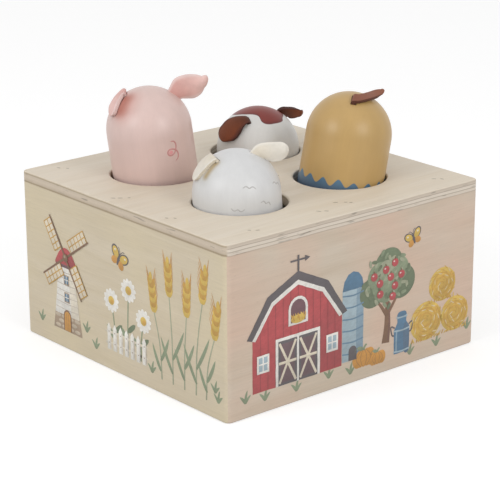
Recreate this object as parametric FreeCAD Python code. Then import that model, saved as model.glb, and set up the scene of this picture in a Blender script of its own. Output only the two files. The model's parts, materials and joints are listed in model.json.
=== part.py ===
import FreeCAD, Part
import math
import os

from FreeCAD import Vector

os.makedirs("parts", exist_ok=True)

# Frame: origin at the middle of the box's underside, +Z up, the front face towards -Y.
# All sizes are in millimetres and all angles in degrees.

# Plywood box
box_width = 150.0
box_height = 80.0
wall_thickness = 6.0
top_thickness = 5.0
base_thickness = 5.0
corner_radius = 3.0
edge_round = 0.8
glue_block_side = 12.0

# Turned beech pegs, and how far apart they stand
peg_diameter = 39.5
peg_pitch = 60.0
peg_length = 53.0
peg_edge_bevel = 1.0
disc_thickness = 4.0
foot_diameter = 24.0

# See-saw rockers under the pegs, and the largest tilt of an arm
axle_diameter = 6.0
swing = 19.5
nose_radius = 5.0
web_above_axle = 1.0
rocker_width = 20.0

# Posts and sleeves that carry the axle: the wood round the bore and the posts' thickness
hub_wall = 4.0
sleeve_wall = 2.0
post_wall = 6.0
post_thickness = 8.0

# Soft ears and comb
ear_thickness = 1.8
comb_thickness = 2.3
comb_root_width = 6.6
comb_bend_overlap = 1.5
tab_depth = 4.0

# Countersunk screws: shank, head, length, how far the head lies below the face
base_screw = {"shank": 3.5, "head": 6.8, "length": 20.0, "sink": 0.3}
peg_screw = {"shank": 4.0, "head": 7.6, "length": 26.0, "sink": 0.5}
screw_point = 3.0
screw_tip_share = 0.25
recess_width = 0.8
recess_depth = 1.2

# Fits: gaps on one side, and the lip of a disc under the rim of its hole
hole_gap = 1.75
disc_lip = 2.5
running_fit = 0.06
still_fit = 0.02
side_gap = 0.3
contact_gap = 0.45
hub_gap = 0.3
board_gap = 1.5
turning_gap = 0.3
cone_gap = 0.12
slot_gap = 0.2
soft_gap = 0.3
axle_end_gap = 0.3

# Each rocker: which row it stands in and how far its +X arm is raised at rest
rockers = {
    "front_rocker": {"row": -1, "tilt": 14.5},
    "back_rocker": {"row": 1, "tilt": -swing},
}

# Each peg: its side, its rocker, the lean of its axis towards +X and where it stands in its hole
pegs = {
    "sheep": {"side": -1, "rocker": "front_rocker", "lean": -5.0, "offset": (-0.9, 0.4)},
    "hen": {"side": 1, "rocker": "front_rocker", "lean": 12.5, "offset": (0.3, -0.3)},
    "pig": {"side": -1, "rocker": "back_rocker", "lean": -8.5, "offset": (0.3, 0.8)},
    "cow": {"side": 1, "rocker": "back_rocker", "lean": 4.0, "offset": (0.7, -0.8)},
}

# Ears that stand out: azimuth round the peg, elevation of the root and of the flap, twist
standing_ears = {
    "pig_right_ear": {"peg": "pig", "azimuth": -24.0, "root": 45.0, "rise": 10.0,
                      "twist": 0.0, "length": 17.0, "half_width": 5.2, "root_width": 7.0},
    "sheep_right_ear": {"peg": "sheep", "azimuth": -36.0, "root": 58.0, "rise": 4.0,
                        "twist": 0.0, "length": 13.5, "half_width": 4.8, "root_width": 7.0},
    "cow_right_ear": {"peg": "cow", "azimuth": -6.0, "root": 50.0, "rise": 0.0,
                      "twist": 35.0, "length": 12.5, "half_width": 4.8, "root_width": 6.0},
}

# Ears that lie along the head: azimuth and elevation of their middle, and their turn on the dome
lying_ears = {
    "pig_left_ear": {"peg": "pig", "azimuth": 138.0, "elevation": 44.0,
                     "roll": 8.0, "half_length": 8.5, "half_width": 5.0, "root_width": 7.0},
    "sheep_left_ear": {"peg": "sheep", "azimuth": 163.0, "elevation": 40.0,
                       "roll": 0.0, "half_length": 9.5, "half_width": 5.0, "root_width": 7.0},
    "cow_left_ear": {"peg": "cow", "azimuth": 185.5, "elevation": 34.0,
                     "roll": -38.0, "half_length": 8.9, "half_width": 5.3, "root_width": 3.8},
}

# The comb stands in a saw cut behind the top of the crown, flops over and twists a little
comb = {"peg": "hen", "azimuth": -46.0, "set_back": 31.0, "tilt": -27.0, "rise": 27.0,
        "length": 15.0, "half_width": 4.6}

# Worked out from the sizes above
half_box = box_width / 2
inner_half = half_box - wall_thickness
wall_top = box_height - top_thickness
peg_offset = peg_pitch / 2
peg_radius = peg_diameter / 2
hole_radius = peg_radius + hole_gap
disc_radius = hole_radius + disc_lip
axle_radius = axle_diameter / 2
hub_radius = axle_radius + hub_wall
arm_reach = peg_offset
arm_rise = arm_reach * math.sin(math.radians(swing))
sleeve_radius = axle_radius + sleeve_wall
post_radius = axle_radius + post_wall

# The lowest disc clears the hub of its rocker, and the highest one the top board
foot_thickness = hub_radius + hub_gap + arm_rise - nose_radius - contact_gap - turning_gap
disc_height = foot_thickness + turning_gap
body_height = disc_height + disc_thickness
stack_length = body_height + peg_length
largest_lean = math.radians(max(abs(peg["lean"]) for peg in pegs.values()))
disc_rise = arm_rise + nose_radius + contact_gap + body_height + disc_radius * math.sin(largest_lean)
axle_height = wall_top - board_gap - disc_rise
outer_post_y = inner_half - post_thickness / 2

tolerance = 1e-6
origin = Vector(0, 0, 0)
x_axis = Vector(1, 0, 0)
y_axis = Vector(0, 1, 0)
z_axis = Vector(0, 0, 1)


def block(low, high):
    """Rectangular solid between two opposite corners."""
    size = Vector(*high) - Vector(*low)
    return Part.makeBox(size.x, size.y, size.z, Vector(*low))


def rod(radius, foot_point, length, direction=z_axis):
    """Round rod, which is also the drill for a hole of its size."""
    return Part.makeCylinder(radius, length, foot_point, direction)


def upright_edges(shape):
    """Edges that run along Z."""
    return [edge for edge in shape.Edges
            if edge.tangentAt(edge.FirstParameter).cross(z_axis).Length < tolerance]


def edges_at_height(shape, height):
    """Edges that lie in one level plane."""
    return [edge for edge in shape.Edges
            if max(abs(edge.BoundBox.ZMin - height), abs(edge.BoundBox.ZMax - height)) < tolerance]


def rounded_prism(half, low, high):
    """Square prism with the box's rounded upright edges."""
    prism = block((-half, -half, low), (half, half, high))
    return prism.makeFillet(corner_radius, upright_edges(prism))


def countersunk_screw(sizes):
    """Screw standing on the XY plane, head down, with a cross recess in its head."""
    shank = sizes["shank"] / 2
    head = sizes["head"] / 2
    head_height = head - shank
    body = Part.makeCone(head, shank, head_height)
    straight = sizes["length"] - head_height - screw_point
    body = body.fuse(rod(shank, Vector(0, 0, head_height), straight))
    point = Part.makeCone(shank, shank * screw_tip_share, screw_point, Vector(0, 0, head_height + straight))
    body = body.fuse(point).removeSplitter()
    for long_x, long_y in ((shank, recess_width / 2), (recess_width / 2, shank)):
        body = body.cut(block((-long_x, -long_y, 0), (long_x, long_y, recess_depth)))
    return body


def screw_hole(sizes, foot_point, cone_clearance, shank_clearance):
    """Drill with a countersink for a screw whose head starts at foot_point."""
    shank = sizes["shank"] / 2
    head = sizes["head"] / 2
    sink = sizes["sink"]
    mouth = rod(head + cone_clearance, Vector(0, 0, -sink), sink)
    cone = Part.makeCone(head + cone_clearance, shank + cone_clearance, head - shank)
    bore = rod(shank + shank_clearance, origin, sizes["length"])
    drill = mouth.fuse(cone).fuse(bore)
    drill.translate(foot_point)
    return drill


def base_screw_places():
    """One screw into each glue block and one into each axle post."""
    corner = inner_half - glue_block_side / 2
    corners = [(x * corner, y * corner) for x in (-1, 1) for y in (-1, 1)]
    posts = [(0, row * outer_post_y) for row in (-1, 0, 1)]
    return [Vector(x, y, base_screw["sink"]) for x, y in corners + posts]


def base_screw_drills():
    """The holes that the screws in the underside make."""
    drills = [screw_hole(base_screw, place, still_fit, still_fit) for place in base_screw_places()]
    return drills[0].multiFuse(drills[1:])


def peg_axis(peg):
    """Unit vector along a peg, from its foot to its crown."""
    lean = math.radians(peg["lean"])
    return Vector(math.sin(lean), 0, math.cos(lean))


def peg_deck_point(peg):
    """Where a peg's axis passes through the upper face of the top board."""
    row = rockers[peg["rocker"]]["row"]
    middle = Vector(peg["side"] * peg_offset + peg["offset"][0],
                    row * peg_offset + peg["offset"][1],
                    box_height - top_thickness / 2)
    axis = peg_axis(peg)
    return middle + axis * (top_thickness / 2 / axis.z)


def nose_point(peg):
    """Middle of the rocker's nose under a peg, with the rocker at rest."""
    rocker = rockers[peg["rocker"]]
    tilt = math.radians(rocker["tilt"]) * peg["side"]
    return Vector(peg["side"] * arm_reach * math.cos(tilt), rocker["row"] * peg_offset,
                  axle_height + arm_reach * math.sin(tilt))


def peg_foot_point(peg):
    """Middle of the foot's underside, which lies on the nose of the rocker."""
    axis = peg_axis(peg)
    deck = peg_deck_point(peg)
    along = (nose_point(peg) - deck).dot(axis) + nose_radius + contact_gap
    return deck + axis * along


def place_on_peg(shape, peg, height):
    """Move a shape built round +Z onto a peg, its zero at this height over the foot's underside."""
    placed = shape.copy()
    placed.rotate(origin, y_axis, peg["lean"])
    placed.translate(peg_foot_point(peg) + peg_axis(peg) * height)
    return placed


def mitred_wall(x_sign, y_sign):
    """One wall of the box, cut at 45 degrees where it meets its neighbours."""
    tube = rounded_prism(half_box, 0, wall_top)
    tube = tube.makeFillet(edge_round, edges_at_height(tube, 0))
    tube = tube.cut(block((-inner_half, -inner_half, 0), (inner_half, inner_half, wall_top)))
    outward = Vector(x_sign, y_sign, 0) * half_box
    along = Vector(-y_sign, x_sign, 0) * half_box
    wedge = Part.Face(Part.makePolygon([origin, outward + along, outward - along, origin]))
    return tube.common(wedge.extrude(Vector(0, 0, wall_top)))


def top_board():
    """Square board with four round holes and softened edges."""
    board = rounded_prism(half_box, wall_top, box_height)
    for x in (-peg_offset, peg_offset):
        for y in (-peg_offset, peg_offset):
            board = board.cut(rod(hole_radius, Vector(x, y, wall_top), top_thickness))
    return board.makeFillet(edge_round, edges_at_height(board, box_height))


def bottom_board():
    """Base let in flush between the walls."""
    board = block((-inner_half, -inner_half, 0), (inner_half, inner_half, base_thickness))
    return board.cut(base_screw_drills())


def corner_blocks():
    """Four square glue blocks that stand in the corners between base and top."""
    blocks = []
    for x in (-1, 1):
        for y in (-1, 1):
            strip = block((inner_half - glue_block_side, inner_half - glue_block_side, base_thickness),
                          (inner_half, inner_half, wall_top))
            if x < 0:
                strip = strip.mirror(origin, x_axis)
            if y < 0:
                strip = strip.mirror(origin, y_axis)
            blocks.append(strip.cut(base_screw_drills()))
    return Part.makeCompound(blocks)


def base_screws():
    """Screws that hold the glue blocks and the axle posts to the base."""
    screws = []
    for place in base_screw_places():
        screw = countersunk_screw(base_screw)
        screw.translate(place)
        screws.append(screw)
    return Part.makeCompound(screws)


def axle_post(middle_y):
    """Post with a round head, bored for the axle."""
    low_y = middle_y - post_thickness / 2
    post = block((-post_radius, low_y, base_thickness),
                 (post_radius, low_y + post_thickness, axle_height))
    post = post.fuse(rod(post_radius, Vector(0, low_y, axle_height), post_thickness, y_axis))
    post = post.removeSplitter()
    post = post.cut(rod(axle_radius + still_fit, Vector(0, low_y, axle_height), post_thickness, y_axis))
    return post.cut(base_screw_drills())


def axle_rod():
    """Steel rod through all three posts."""
    half = inner_half - axle_end_gap
    return rod(axle_radius, Vector(0, -half, axle_height), 2 * half, y_axis)


def spacer(low_y, high_y):
    """Sleeve on the axle between two places along Y."""
    length = high_y - low_y
    start = Vector(0, low_y, axle_height)
    sleeve = rod(sleeve_radius, start, length, y_axis)
    return sleeve.cut(rod(axle_radius + running_fit, start, length, y_axis))


def spacer_pair(near, far):
    """The same sleeve on both sides of the middle of the box."""
    return Part.makeCompound([spacer(-far, -near), spacer(near, far)])


def inner_spacers():
    """Sleeves between the middle post and the rockers."""
    return spacer_pair(post_thickness / 2, peg_offset - rocker_width / 2 - side_gap)


def outer_spacers():
    """Sleeves between the rockers and the outer posts."""
    return spacer_pair(peg_offset + rocker_width / 2 + side_gap, inner_half - post_thickness)


def rocker(settings):
    """See-saw arm with a bored hub and a round nose under each peg."""
    low_y = settings["row"] * peg_offset - rocker_width / 2
    arm = block((-arm_reach, low_y, -nose_radius), (arm_reach, low_y + rocker_width, web_above_axle))
    for x, radius in ((-arm_reach, nose_radius), (arm_reach, nose_radius), (0, hub_radius)):
        arm = arm.fuse(rod(radius, Vector(x, low_y, 0), rocker_width, y_axis))
    arm = arm.removeSplitter()
    arm = arm.cut(rod(axle_radius + running_fit, Vector(0, low_y, 0), rocker_width, y_axis))
    arm.rotate(origin, y_axis, -settings["tilt"])
    arm.translate(Vector(0, 0, axle_height))
    return arm


def peg_blank():
    """Round peg with a hemispherical crown, its underside on the XY plane."""
    shoulder = peg_length - peg_radius
    slope = peg_radius / math.sqrt(2)
    bottom = Vector(0, 0, 0)
    inner = Vector(peg_radius - peg_edge_bevel, 0, 0)
    outer = Vector(peg_radius, 0, peg_edge_bevel)
    side = Vector(peg_radius, 0, shoulder)
    on_crown = Vector(slope, 0, shoulder + slope)
    crown = Vector(0, 0, peg_length)
    edges = [Part.LineSegment(bottom, inner).toShape(),
             Part.LineSegment(inner, outer).toShape(),
             Part.LineSegment(outer, side).toShape(),
             Part.Arc(side, on_crown, crown).toShape(),
             Part.LineSegment(crown, bottom).toShape()]
    return Part.Face(Part.Wire(edges)).revolve(origin, z_axis, 360)


def tab_and_slot(width, thickness):
    """Root of a flap at the top of the crown, thin along Y, and the slot that it is glued into."""
    pieces = []
    for gap in (0.0, slot_gap):
        low = (-width / 2 - gap, -thickness / 2 - gap, peg_radius - tab_depth - gap)
        high = (width / 2 + gap, thickness / 2 + gap, peg_radius + soft_gap + thickness / 2)
        pieces.append(block(low, high))
    return pieces


def oval_face(half_x, half_y):
    """Flat ellipse round the origin, whichever way it is longer."""
    rim = Part.Ellipse(origin, max(half_x, half_y), min(half_x, half_y)).toShape()
    face = Part.Face(Part.Wire([rim]))
    if half_y > half_x:
        face.rotate(origin, z_axis, 90)
    return face


def oval_plate(half_length, half_width, thickness):
    """Flat oval that starts at the origin and rises along +Z, thin along Y."""
    plate = oval_face(half_length, half_width).extrude(Vector(0, 0, thickness))
    plate.translate(Vector(half_length, 0, -thickness / 2))
    plate.rotate(origin, x_axis, 90)
    plate.rotate(origin, y_axis, -90)
    return plate


def dome_ball(gap):
    """Ball of the crown grown by a gap, in the frame of the crown's centre."""
    return Part.makeSphere(peg_radius + gap)


def standing_ear(ear):
    """Flap that stands out of the crown, and the slot for its root."""
    tab, slot = tab_and_slot(ear["root_width"], ear_thickness)
    for piece in (tab, slot):
        piece.rotate(origin, y_axis, 90 - ear["root"])
    root = math.radians(ear["root"])
    plate = oval_plate(ear["length"] / 2, ear["half_width"], ear_thickness)
    plate.rotate(origin, z_axis, ear["twist"])
    plate.rotate(origin, y_axis, 90 - ear["rise"])
    plate.translate(Vector(math.cos(root), 0, math.sin(root)) * peg_radius)
    flap = plate.cut(dome_ball(soft_gap)).fuse(tab).removeSplitter()
    return turned_about_peg((flap, slot), ear["azimuth"])


def lying_ear(ear):
    """Flap that follows the crown like a shell, and the slot for its root."""
    tab, slot = tab_and_slot(ear["root_width"], ear_thickness)
    root_shift = math.degrees((ear["half_length"] - ear_thickness) / peg_radius)
    for piece in (tab, slot):
        piece.rotate(origin, z_axis, 90)
        piece.rotate(origin, y_axis, -root_shift)
    shell = dome_ball(soft_gap + ear_thickness).cut(dome_ball(soft_gap))
    reach = peg_radius + soft_gap + ear_thickness
    outline = oval_face(ear["half_length"], ear["half_width"]).extrude(Vector(0, 0, reach))
    flap = shell.common(outline).fuse(tab).removeSplitter()
    for piece in (flap, slot):
        piece.rotate(origin, z_axis, ear["roll"])
        piece.rotate(origin, y_axis, 90 - ear["elevation"])
    return turned_about_peg((flap, slot), ear["azimuth"])


def hen_comb():
    """Comb bent over out of a saw cut across the crown, and the cut."""
    tab, slot = tab_and_slot(comb_root_width, comb_thickness)
    for piece in (tab, slot):
        piece.rotate(origin, z_axis, 90)
    plate = oval_plate(comb["length"] / 2, comb["half_width"], comb_thickness)
    plate.rotate(origin, z_axis, 90)
    plate.rotate(origin, y_axis, 90 - comb["rise"])
    plate.rotate(origin, x_axis, comb["tilt"])
    plate.translate(Vector(-comb_bend_overlap, 0, peg_radius + soft_gap))
    flap = plate.cut(dome_ball(soft_gap)).fuse(tab).removeSplitter()
    for piece in (flap, slot):
        piece.rotate(origin, x_axis, comb["set_back"])
    return turned_about_peg((flap, slot), comb["azimuth"])


def turned_about_peg(shapes, azimuth):
    """Turn shapes round the peg's own axis."""
    for shape in shapes:
        shape.rotate(origin, z_axis, azimuth)
    return shapes


def peg_flaps(name):
    """Every soft flap of one peg with its slot, in the frame of the crown's centre."""
    flaps = {key: standing_ear(ear) for key, ear in standing_ears.items() if ear["peg"] == name}
    flaps.update({key: lying_ear(ear) for key, ear in lying_ears.items() if ear["peg"] == name})
    if comb["peg"] == name:
        flaps["hen_comb"] = hen_comb()
    return flaps


def export(shape, name):
    """Write one sub-part."""
    shape.exportStep("parts/" + name + ".step")


def export_box():
    """The plywood case with its blocks and screws."""
    export(mitred_wall(0, -1), "front_board")
    export(mitred_wall(0, 1), "back_board")
    export(mitred_wall(-1, 0), "left_board")
    export(mitred_wall(1, 0), "right_board")
    export(top_board(), "top_board")
    export(bottom_board(), "bottom_board")
    export(corner_blocks(), "corner_blocks")
    export(base_screws(), "base_screws")


def export_rockers():
    """The two see-saws, their axle and what carries it."""
    export(axle_post(-outer_post_y), "front_axle_post")
    export(axle_post(0), "middle_axle_post")
    export(axle_post(outer_post_y), "back_axle_post")
    export(axle_rod(), "axle_rod")
    export(inner_spacers(), "inner_spacers")
    export(outer_spacers(), "outer_spacers")
    for name, settings in rockers.items():
        export(rocker(settings), name)


def export_peg(name, peg):
    """A peg with its retaining disc, its turning foot, its screw and its soft flaps."""
    crown_height = stack_length - peg_radius
    head = Vector(0, 0, peg_screw["sink"])
    still_drill = screw_hole(peg_screw, head, cone_gap, still_fit)
    turning_drill = screw_hole(peg_screw, head, cone_gap, running_fit)

    blank = peg_blank()
    blank.translate(Vector(0, 0, body_height))
    body = blank.cut(still_drill)
    for key, (flap, slot) in peg_flaps(name).items():
        slot.translate(Vector(0, 0, crown_height))
        body = body.cut(slot)
        export(place_on_peg(flap, peg, crown_height), key)
    export(place_on_peg(body, peg, 0), name + "_body")

    disc = rod(disc_radius, Vector(0, 0, disc_height), disc_thickness).cut(still_drill)
    export(place_on_peg(disc, peg, 0), name + "_disc")
    foot = rod(foot_diameter / 2, origin, foot_thickness).cut(turning_drill)
    export(place_on_peg(foot, peg, 0), name + "_foot")
    screw = countersunk_screw(peg_screw)
    screw.translate(head)
    export(place_on_peg(screw, peg, 0), name + "_screw")


export_box()
export_rockers()
for peg_name, peg_settings in pegs.items():
    export_peg(peg_name, peg_settings)
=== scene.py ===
import json
import math
import random

import bmesh
import bpy
from mathutils import Matrix, Vector


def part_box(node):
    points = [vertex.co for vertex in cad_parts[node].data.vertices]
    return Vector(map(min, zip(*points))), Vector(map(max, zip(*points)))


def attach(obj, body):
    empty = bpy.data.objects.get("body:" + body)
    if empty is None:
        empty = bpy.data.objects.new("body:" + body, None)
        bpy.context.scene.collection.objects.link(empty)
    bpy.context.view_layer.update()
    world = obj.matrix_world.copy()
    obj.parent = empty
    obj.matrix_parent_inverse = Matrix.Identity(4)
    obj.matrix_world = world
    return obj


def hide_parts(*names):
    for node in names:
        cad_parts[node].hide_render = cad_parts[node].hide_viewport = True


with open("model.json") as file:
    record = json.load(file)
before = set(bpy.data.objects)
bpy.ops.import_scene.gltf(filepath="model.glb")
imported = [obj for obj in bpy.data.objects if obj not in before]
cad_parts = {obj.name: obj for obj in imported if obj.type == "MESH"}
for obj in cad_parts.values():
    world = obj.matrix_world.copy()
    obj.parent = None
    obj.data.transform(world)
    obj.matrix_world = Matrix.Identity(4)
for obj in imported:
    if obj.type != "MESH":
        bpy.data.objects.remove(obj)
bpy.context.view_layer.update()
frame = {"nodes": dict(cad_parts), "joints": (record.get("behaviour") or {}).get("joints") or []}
mm = 0.001
middling = (0.3, 0.7)       # the span where most values of a noise lie
topmost = (0.66, 0.76)      # the span that leaves only the specks at a noise's highest values
print("frame loaded:", len(frame["nodes"]), "nodes")


# small tools that everything below shares

def linear(hexColour):
    # one sRGB hex value as the linear colour that a shader takes
    parts = [int(hexColour[i:i + 2], 16) / 255 for i in (1, 3, 5)]
    return tuple(c / 12.92 if c <= 0.04045 else ((c + 0.055) / 1.055) ** 2.4 for c in parts) + (1.0,)


def fill(tree, node, values):
    # a name in small letters is a setting of the node, any other an input; an input takes a value, a hex
    # colour, an output, or a node for its first live output
    for key, value in values.items():
        if isinstance(value, bpy.types.Node):
            value = next(output for output in value.outputs if output.enabled)
        elif str(value).startswith("#"):
            value = linear(value)
        if str(key).islower():
            setattr(node, key, value)
        elif isinstance(value, bpy.types.NodeSocket):
            tree.links.new(value, node.inputs[key])
        else:
            node.inputs[key].default_value = value
    return node


def addNode(tree, kind, *inputs, **named):
    # inputs are in the node's own order; a kind that doesn't say what family it is of is a shader node
    node = tree.nodes.new(kind if "Node" in kind else "ShaderNode" + kind)
    return fill(tree, node, {**named, **dict(enumerate(inputs))})


def newMaterial(name):
    # also gives the tree, the shader, and the object coordinates that every pattern lies in
    material = bpy.data.materials.new(name)
    material.use_nodes = True
    tree = material.node_tree
    return material, tree, tree.nodes["Principled BSDF"], addNode(tree, "TexCoord").outputs["Object"]


def wear(node, material):
    # a CAD piece keeps its mesh and takes a new finish
    frame["nodes"][node].data.materials.clear()
    frame["nodes"][node].data.materials.append(material)


def placed(name, data):
    thing = bpy.data.objects.new(name, data)
    bpy.context.scene.collection.objects.link(thing)
    return thing


def newPiece(name, mesh, body):
    piece = placed(name, mesh)
    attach(piece, body)
    return piece


def finished(name, form, materials, smooth=False):
    # the mesh of a bmesh that is done
    for face in form.faces:
        face.smooth = smooth
    mesh = bpy.data.meshes.new(name)
    form.to_mesh(mesh)
    form.free()
    for material in materials:
        mesh.materials.append(material)
    return mesh


def direction(azimuth, elevation):
    a = math.radians(azimuth)
    e = math.radians(elevation)
    return Vector((math.cos(e) * math.cos(a), math.cos(e) * math.sin(a), math.sin(e)))


def throughPoints(points, share):
    # a smooth line through every point
    place = share * (len(points) - 1)
    i = min(int(place), len(points) - 2)
    t = place - i
    a, b, c, d = [points[min(max(i + k, 0), len(points) - 1)] for k in (-1, 0, 1, 2)]
    return (b * 2 + (c - a) * t + (a * 2 - b * 5 + c * 4 - d) * t * t + (b * 3 - a - c * 3 + d) * t ** 3) / 2


def graded(tree, value, span, start, end, shares=(0, 1), ease="LINEAR"):
    # one colour runs into another while a value crosses its span
    share = addNode(tree, "MapRange", value, span[0], span[1], shares[0], shares[1], interpolation_type=ease)
    return fill(tree, addNode(tree, "Mix", share, data_type="RGBA"), {6: start, 7: end})


def shaded(tree, colour, value, span, shades, clamp=True):
    # a colour gets darker or lighter while a value crosses its span
    shade = addNode(tree, "MapRange", value, span[0], span[1], shades[0], shades[1], clamp=clamp)
    mixed = addNode(tree, "Mix", 1.0, data_type="RGBA", blend_type="MULTIPLY")
    return fill(tree, mixed, {6: colour, 7: shade})


def drawnOut(tree, vector, along, size, **more):
    # noise whose grains are long in one direction; size is their length and width in mm
    scale = [1 / (size[1] * mm)] * 3
    scale[along] = 1 / (size[0] * mm)
    stretched = addNode(tree, "Mapping", Vector=vector, Scale=scale)
    return addNode(tree, "TexNoise", Vector=stretched, Scale=1.0, **more)


def surfaced(tree, shader, colour, rough, height, bumps, more=None):
    # bumps are their strength and their depth in mm
    bump = addNode(tree, "Bump", Strength=bumps[0], Distance=bumps[1] * mm, Height=height)
    fill(tree, shader, {"Base Color": colour, "Roughness": rough, "Normal": bump, **(more or {})})


def curveThrough(node, places):
    # draws the curve of a node through the places
    points = node.mapping.curves[0].points
    while len(points) < len(places):
        points.new(0.5, 0.5)
    for point, place in zip(points, places):
        point.location = place
    node.mapping.update()
    return node


# wood

birch = {
    # length and width in mm of the broad rotary-cut flame, the fine fibre lines and the short dark pores
    "figure": (70, 7), "streak": (16, 0.7), "fleck": (2.4, 0.4),
    "flame": (0.35, 0.68),      # the values of the figure's noise between which it runs from pale to deep
    "figureStrength": 0.5, "streakStrength": 0.05, "fleckStrength": 0.07,
    "cloud": 55, "cloudStrength": 0.75,                            # patches of printed wash, mm
    "gluePly": "#8d7660", "seam": 0.5, "seamStrength": 0.35,       # dark line under the top board, mm
    "roughness": (0.5, 0.64), "bumps": (0.25, 0.05),
}


def woodFigure(tree, place, along, wood):
    # the broad figure, the fine streaks and the pores of one sawn or peeled surface
    broad = drawnOut(tree, place, along, wood["figure"], Detail=3.0, Roughness=0.5, Distortion=0.9)
    streaks = drawnOut(tree, place, along, wood["streak"], Detail=3.0, Roughness=0.6)
    pores = drawnOut(tree, place, along, wood["fleck"], Detail=1.0)
    return broad, streaks, addNode(tree, "MapRange", pores, *topmost)


def tinted(tree, colour, streaks, flecks, wood):
    # fibre lines and pores laid over a colour
    strength = wood["streakStrength"]
    lined = shaded(tree, colour, streaks, middling, (1 - strength, 1 + strength / 2))
    return shaded(tree, lined, flecks, (0, 1), (1, 1 - wood["fleckStrength"]))


inkwork = {
    "wash": (11, 1.3), "pool": 6, "tooth": 0.5,    # brush marks, pools of colour and paper-like tooth, mm
    "rimDark": 0.24, "footDark": 0.16, "opacity": 0.93,
}


def printedColour(tree, place, veneer):
    # watercolour artwork printed on the veneer: brush marks, a darker drying rim, and the wood just showing
    colour = addNode(tree, "Attribute", attribute_name="ink")
    cover, rim, rise = [addNode(tree, "Attribute", attribute_name=key).outputs["Fac"]
                        for key in ("cover", "rim", "rise")]
    turned = addNode(tree, "Mapping", Vector=place, Rotation=(0.7, 0.7, 0.0))
    brushed = drawnOut(tree, turned, 0, inkwork["wash"], Detail=3.0, Roughness=0.65)
    pools, tooth = [
        addNode(tree, "TexNoise", Vector=place, Scale=1 / (inkwork[key] * mm), Detail=2.0)
        for key in ("pool", "tooth")]
    for value, span, shades in (
            (brushed, (0.32, 0.68), (0.9, 1.07)), (pools, (0.35, 0.65), (0.92, 1.05)),
            (tooth, middling, (0.96, 1.03)), (rise, (0, 1), (1 - inkwork["footDark"], 1.05)),
            (rim, (0, 1), (1, 1 - inkwork["rimDark"]))):
        colour = shaded(tree, colour, value, span, shades, clamp=False)
    strength = addNode(tree, "Math", cover, inkwork["opacity"], operation="MULTIPLY")
    return fill(tree, addNode(tree, "Mix", strength, data_type="RGBA"), {6: veneer, 7: colour})


def birchPlyFace(name, along, pale, deep, wash, printed=False):
    # peeled birch veneer under thin matt varnish: a calm pale flame with fine fibre and a warm printed wash
    material, tree, shader, place = newMaterial(name)
    broad, streaks, flecks = woodFigure(tree, place, along, birch)
    veneer = graded(tree, broad, birch["flame"], pale, deep, (0, birch["figureStrength"]))
    cloud = addNode(tree, "TexNoise", Vector=place, Scale=1 / (birch["cloud"] * mm), Detail=2.0)
    colour = graded(tree, cloud, (0.42, 0.66), veneer, wash, (0, birch["cloudStrength"]))
    if printed:
        colour = printedColour(tree, place, colour)
    else:   # the joint under the top board reads as a thin dark line
        height = addNode(tree, "SeparateXYZ", place).outputs["Z"]
        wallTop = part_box("front_board")[1].z
        seam = (wallTop - birch["seam"] * mm, wallTop)
        colour = graded(tree, height, seam, colour, birch["gluePly"], (0, birch["seamStrength"]))
    rough = addNode(tree, "MapRange", streaks, 0, 1, *birch["roughness"])
    surfaced(tree, shader, tinted(tree, colour, streaks, flecks, birch), rough, streaks, birch["bumps"])
    return material


topPly = {
    "pale": "#d9cebd", "deep": "#c8b79c", "figureStrength": 0.32,
    "wave": 18, "wander": 0.13,      # how long the waves of the plies are and how far they wander, mm
    "gap": (0.9, 7), "gapShade": 0.62,    # short dark gaps between plies: height and length, mm
    "roughness": (0.48, 0.62),
    # share of the thickness from the underside, and the colour of each band, on the two pairs of edges
    "endGrain": [(0.0, "#9f8d74"), (0.1, "#a6967c"), (0.19, "#c4b49f"), (0.5, "#cfc0ad"), (0.74, "#c9baa6"),
                 (0.81, "#ab9b83"), (0.88, "#b5a58d"), (0.94, "#d3c7b3")],
    "longGrain": [(0.0, "#ae9b88"), (0.05, "#dacec0"), (0.26, "#d7cbbb"), (0.31, "#a3927f"),
                  (0.37, "#ded3c4"), (0.58, "#dacebf"), (0.63, "#a69685"), (0.69, "#d1c4b4"),
                  (0.92, "#c1b3a2"), (0.96, "#d3c7b8")],
}


def banded(ramp, bands):
    # gives a colour ramp its stops
    stops = ramp.color_ramp.elements
    while len(stops) < len(bands):
        stops.new(1.0)
    for stop, (place, colour) in zip(stops, bands):
        stop.position = place
        stop.color = linear(colour)
    return ramp


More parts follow.
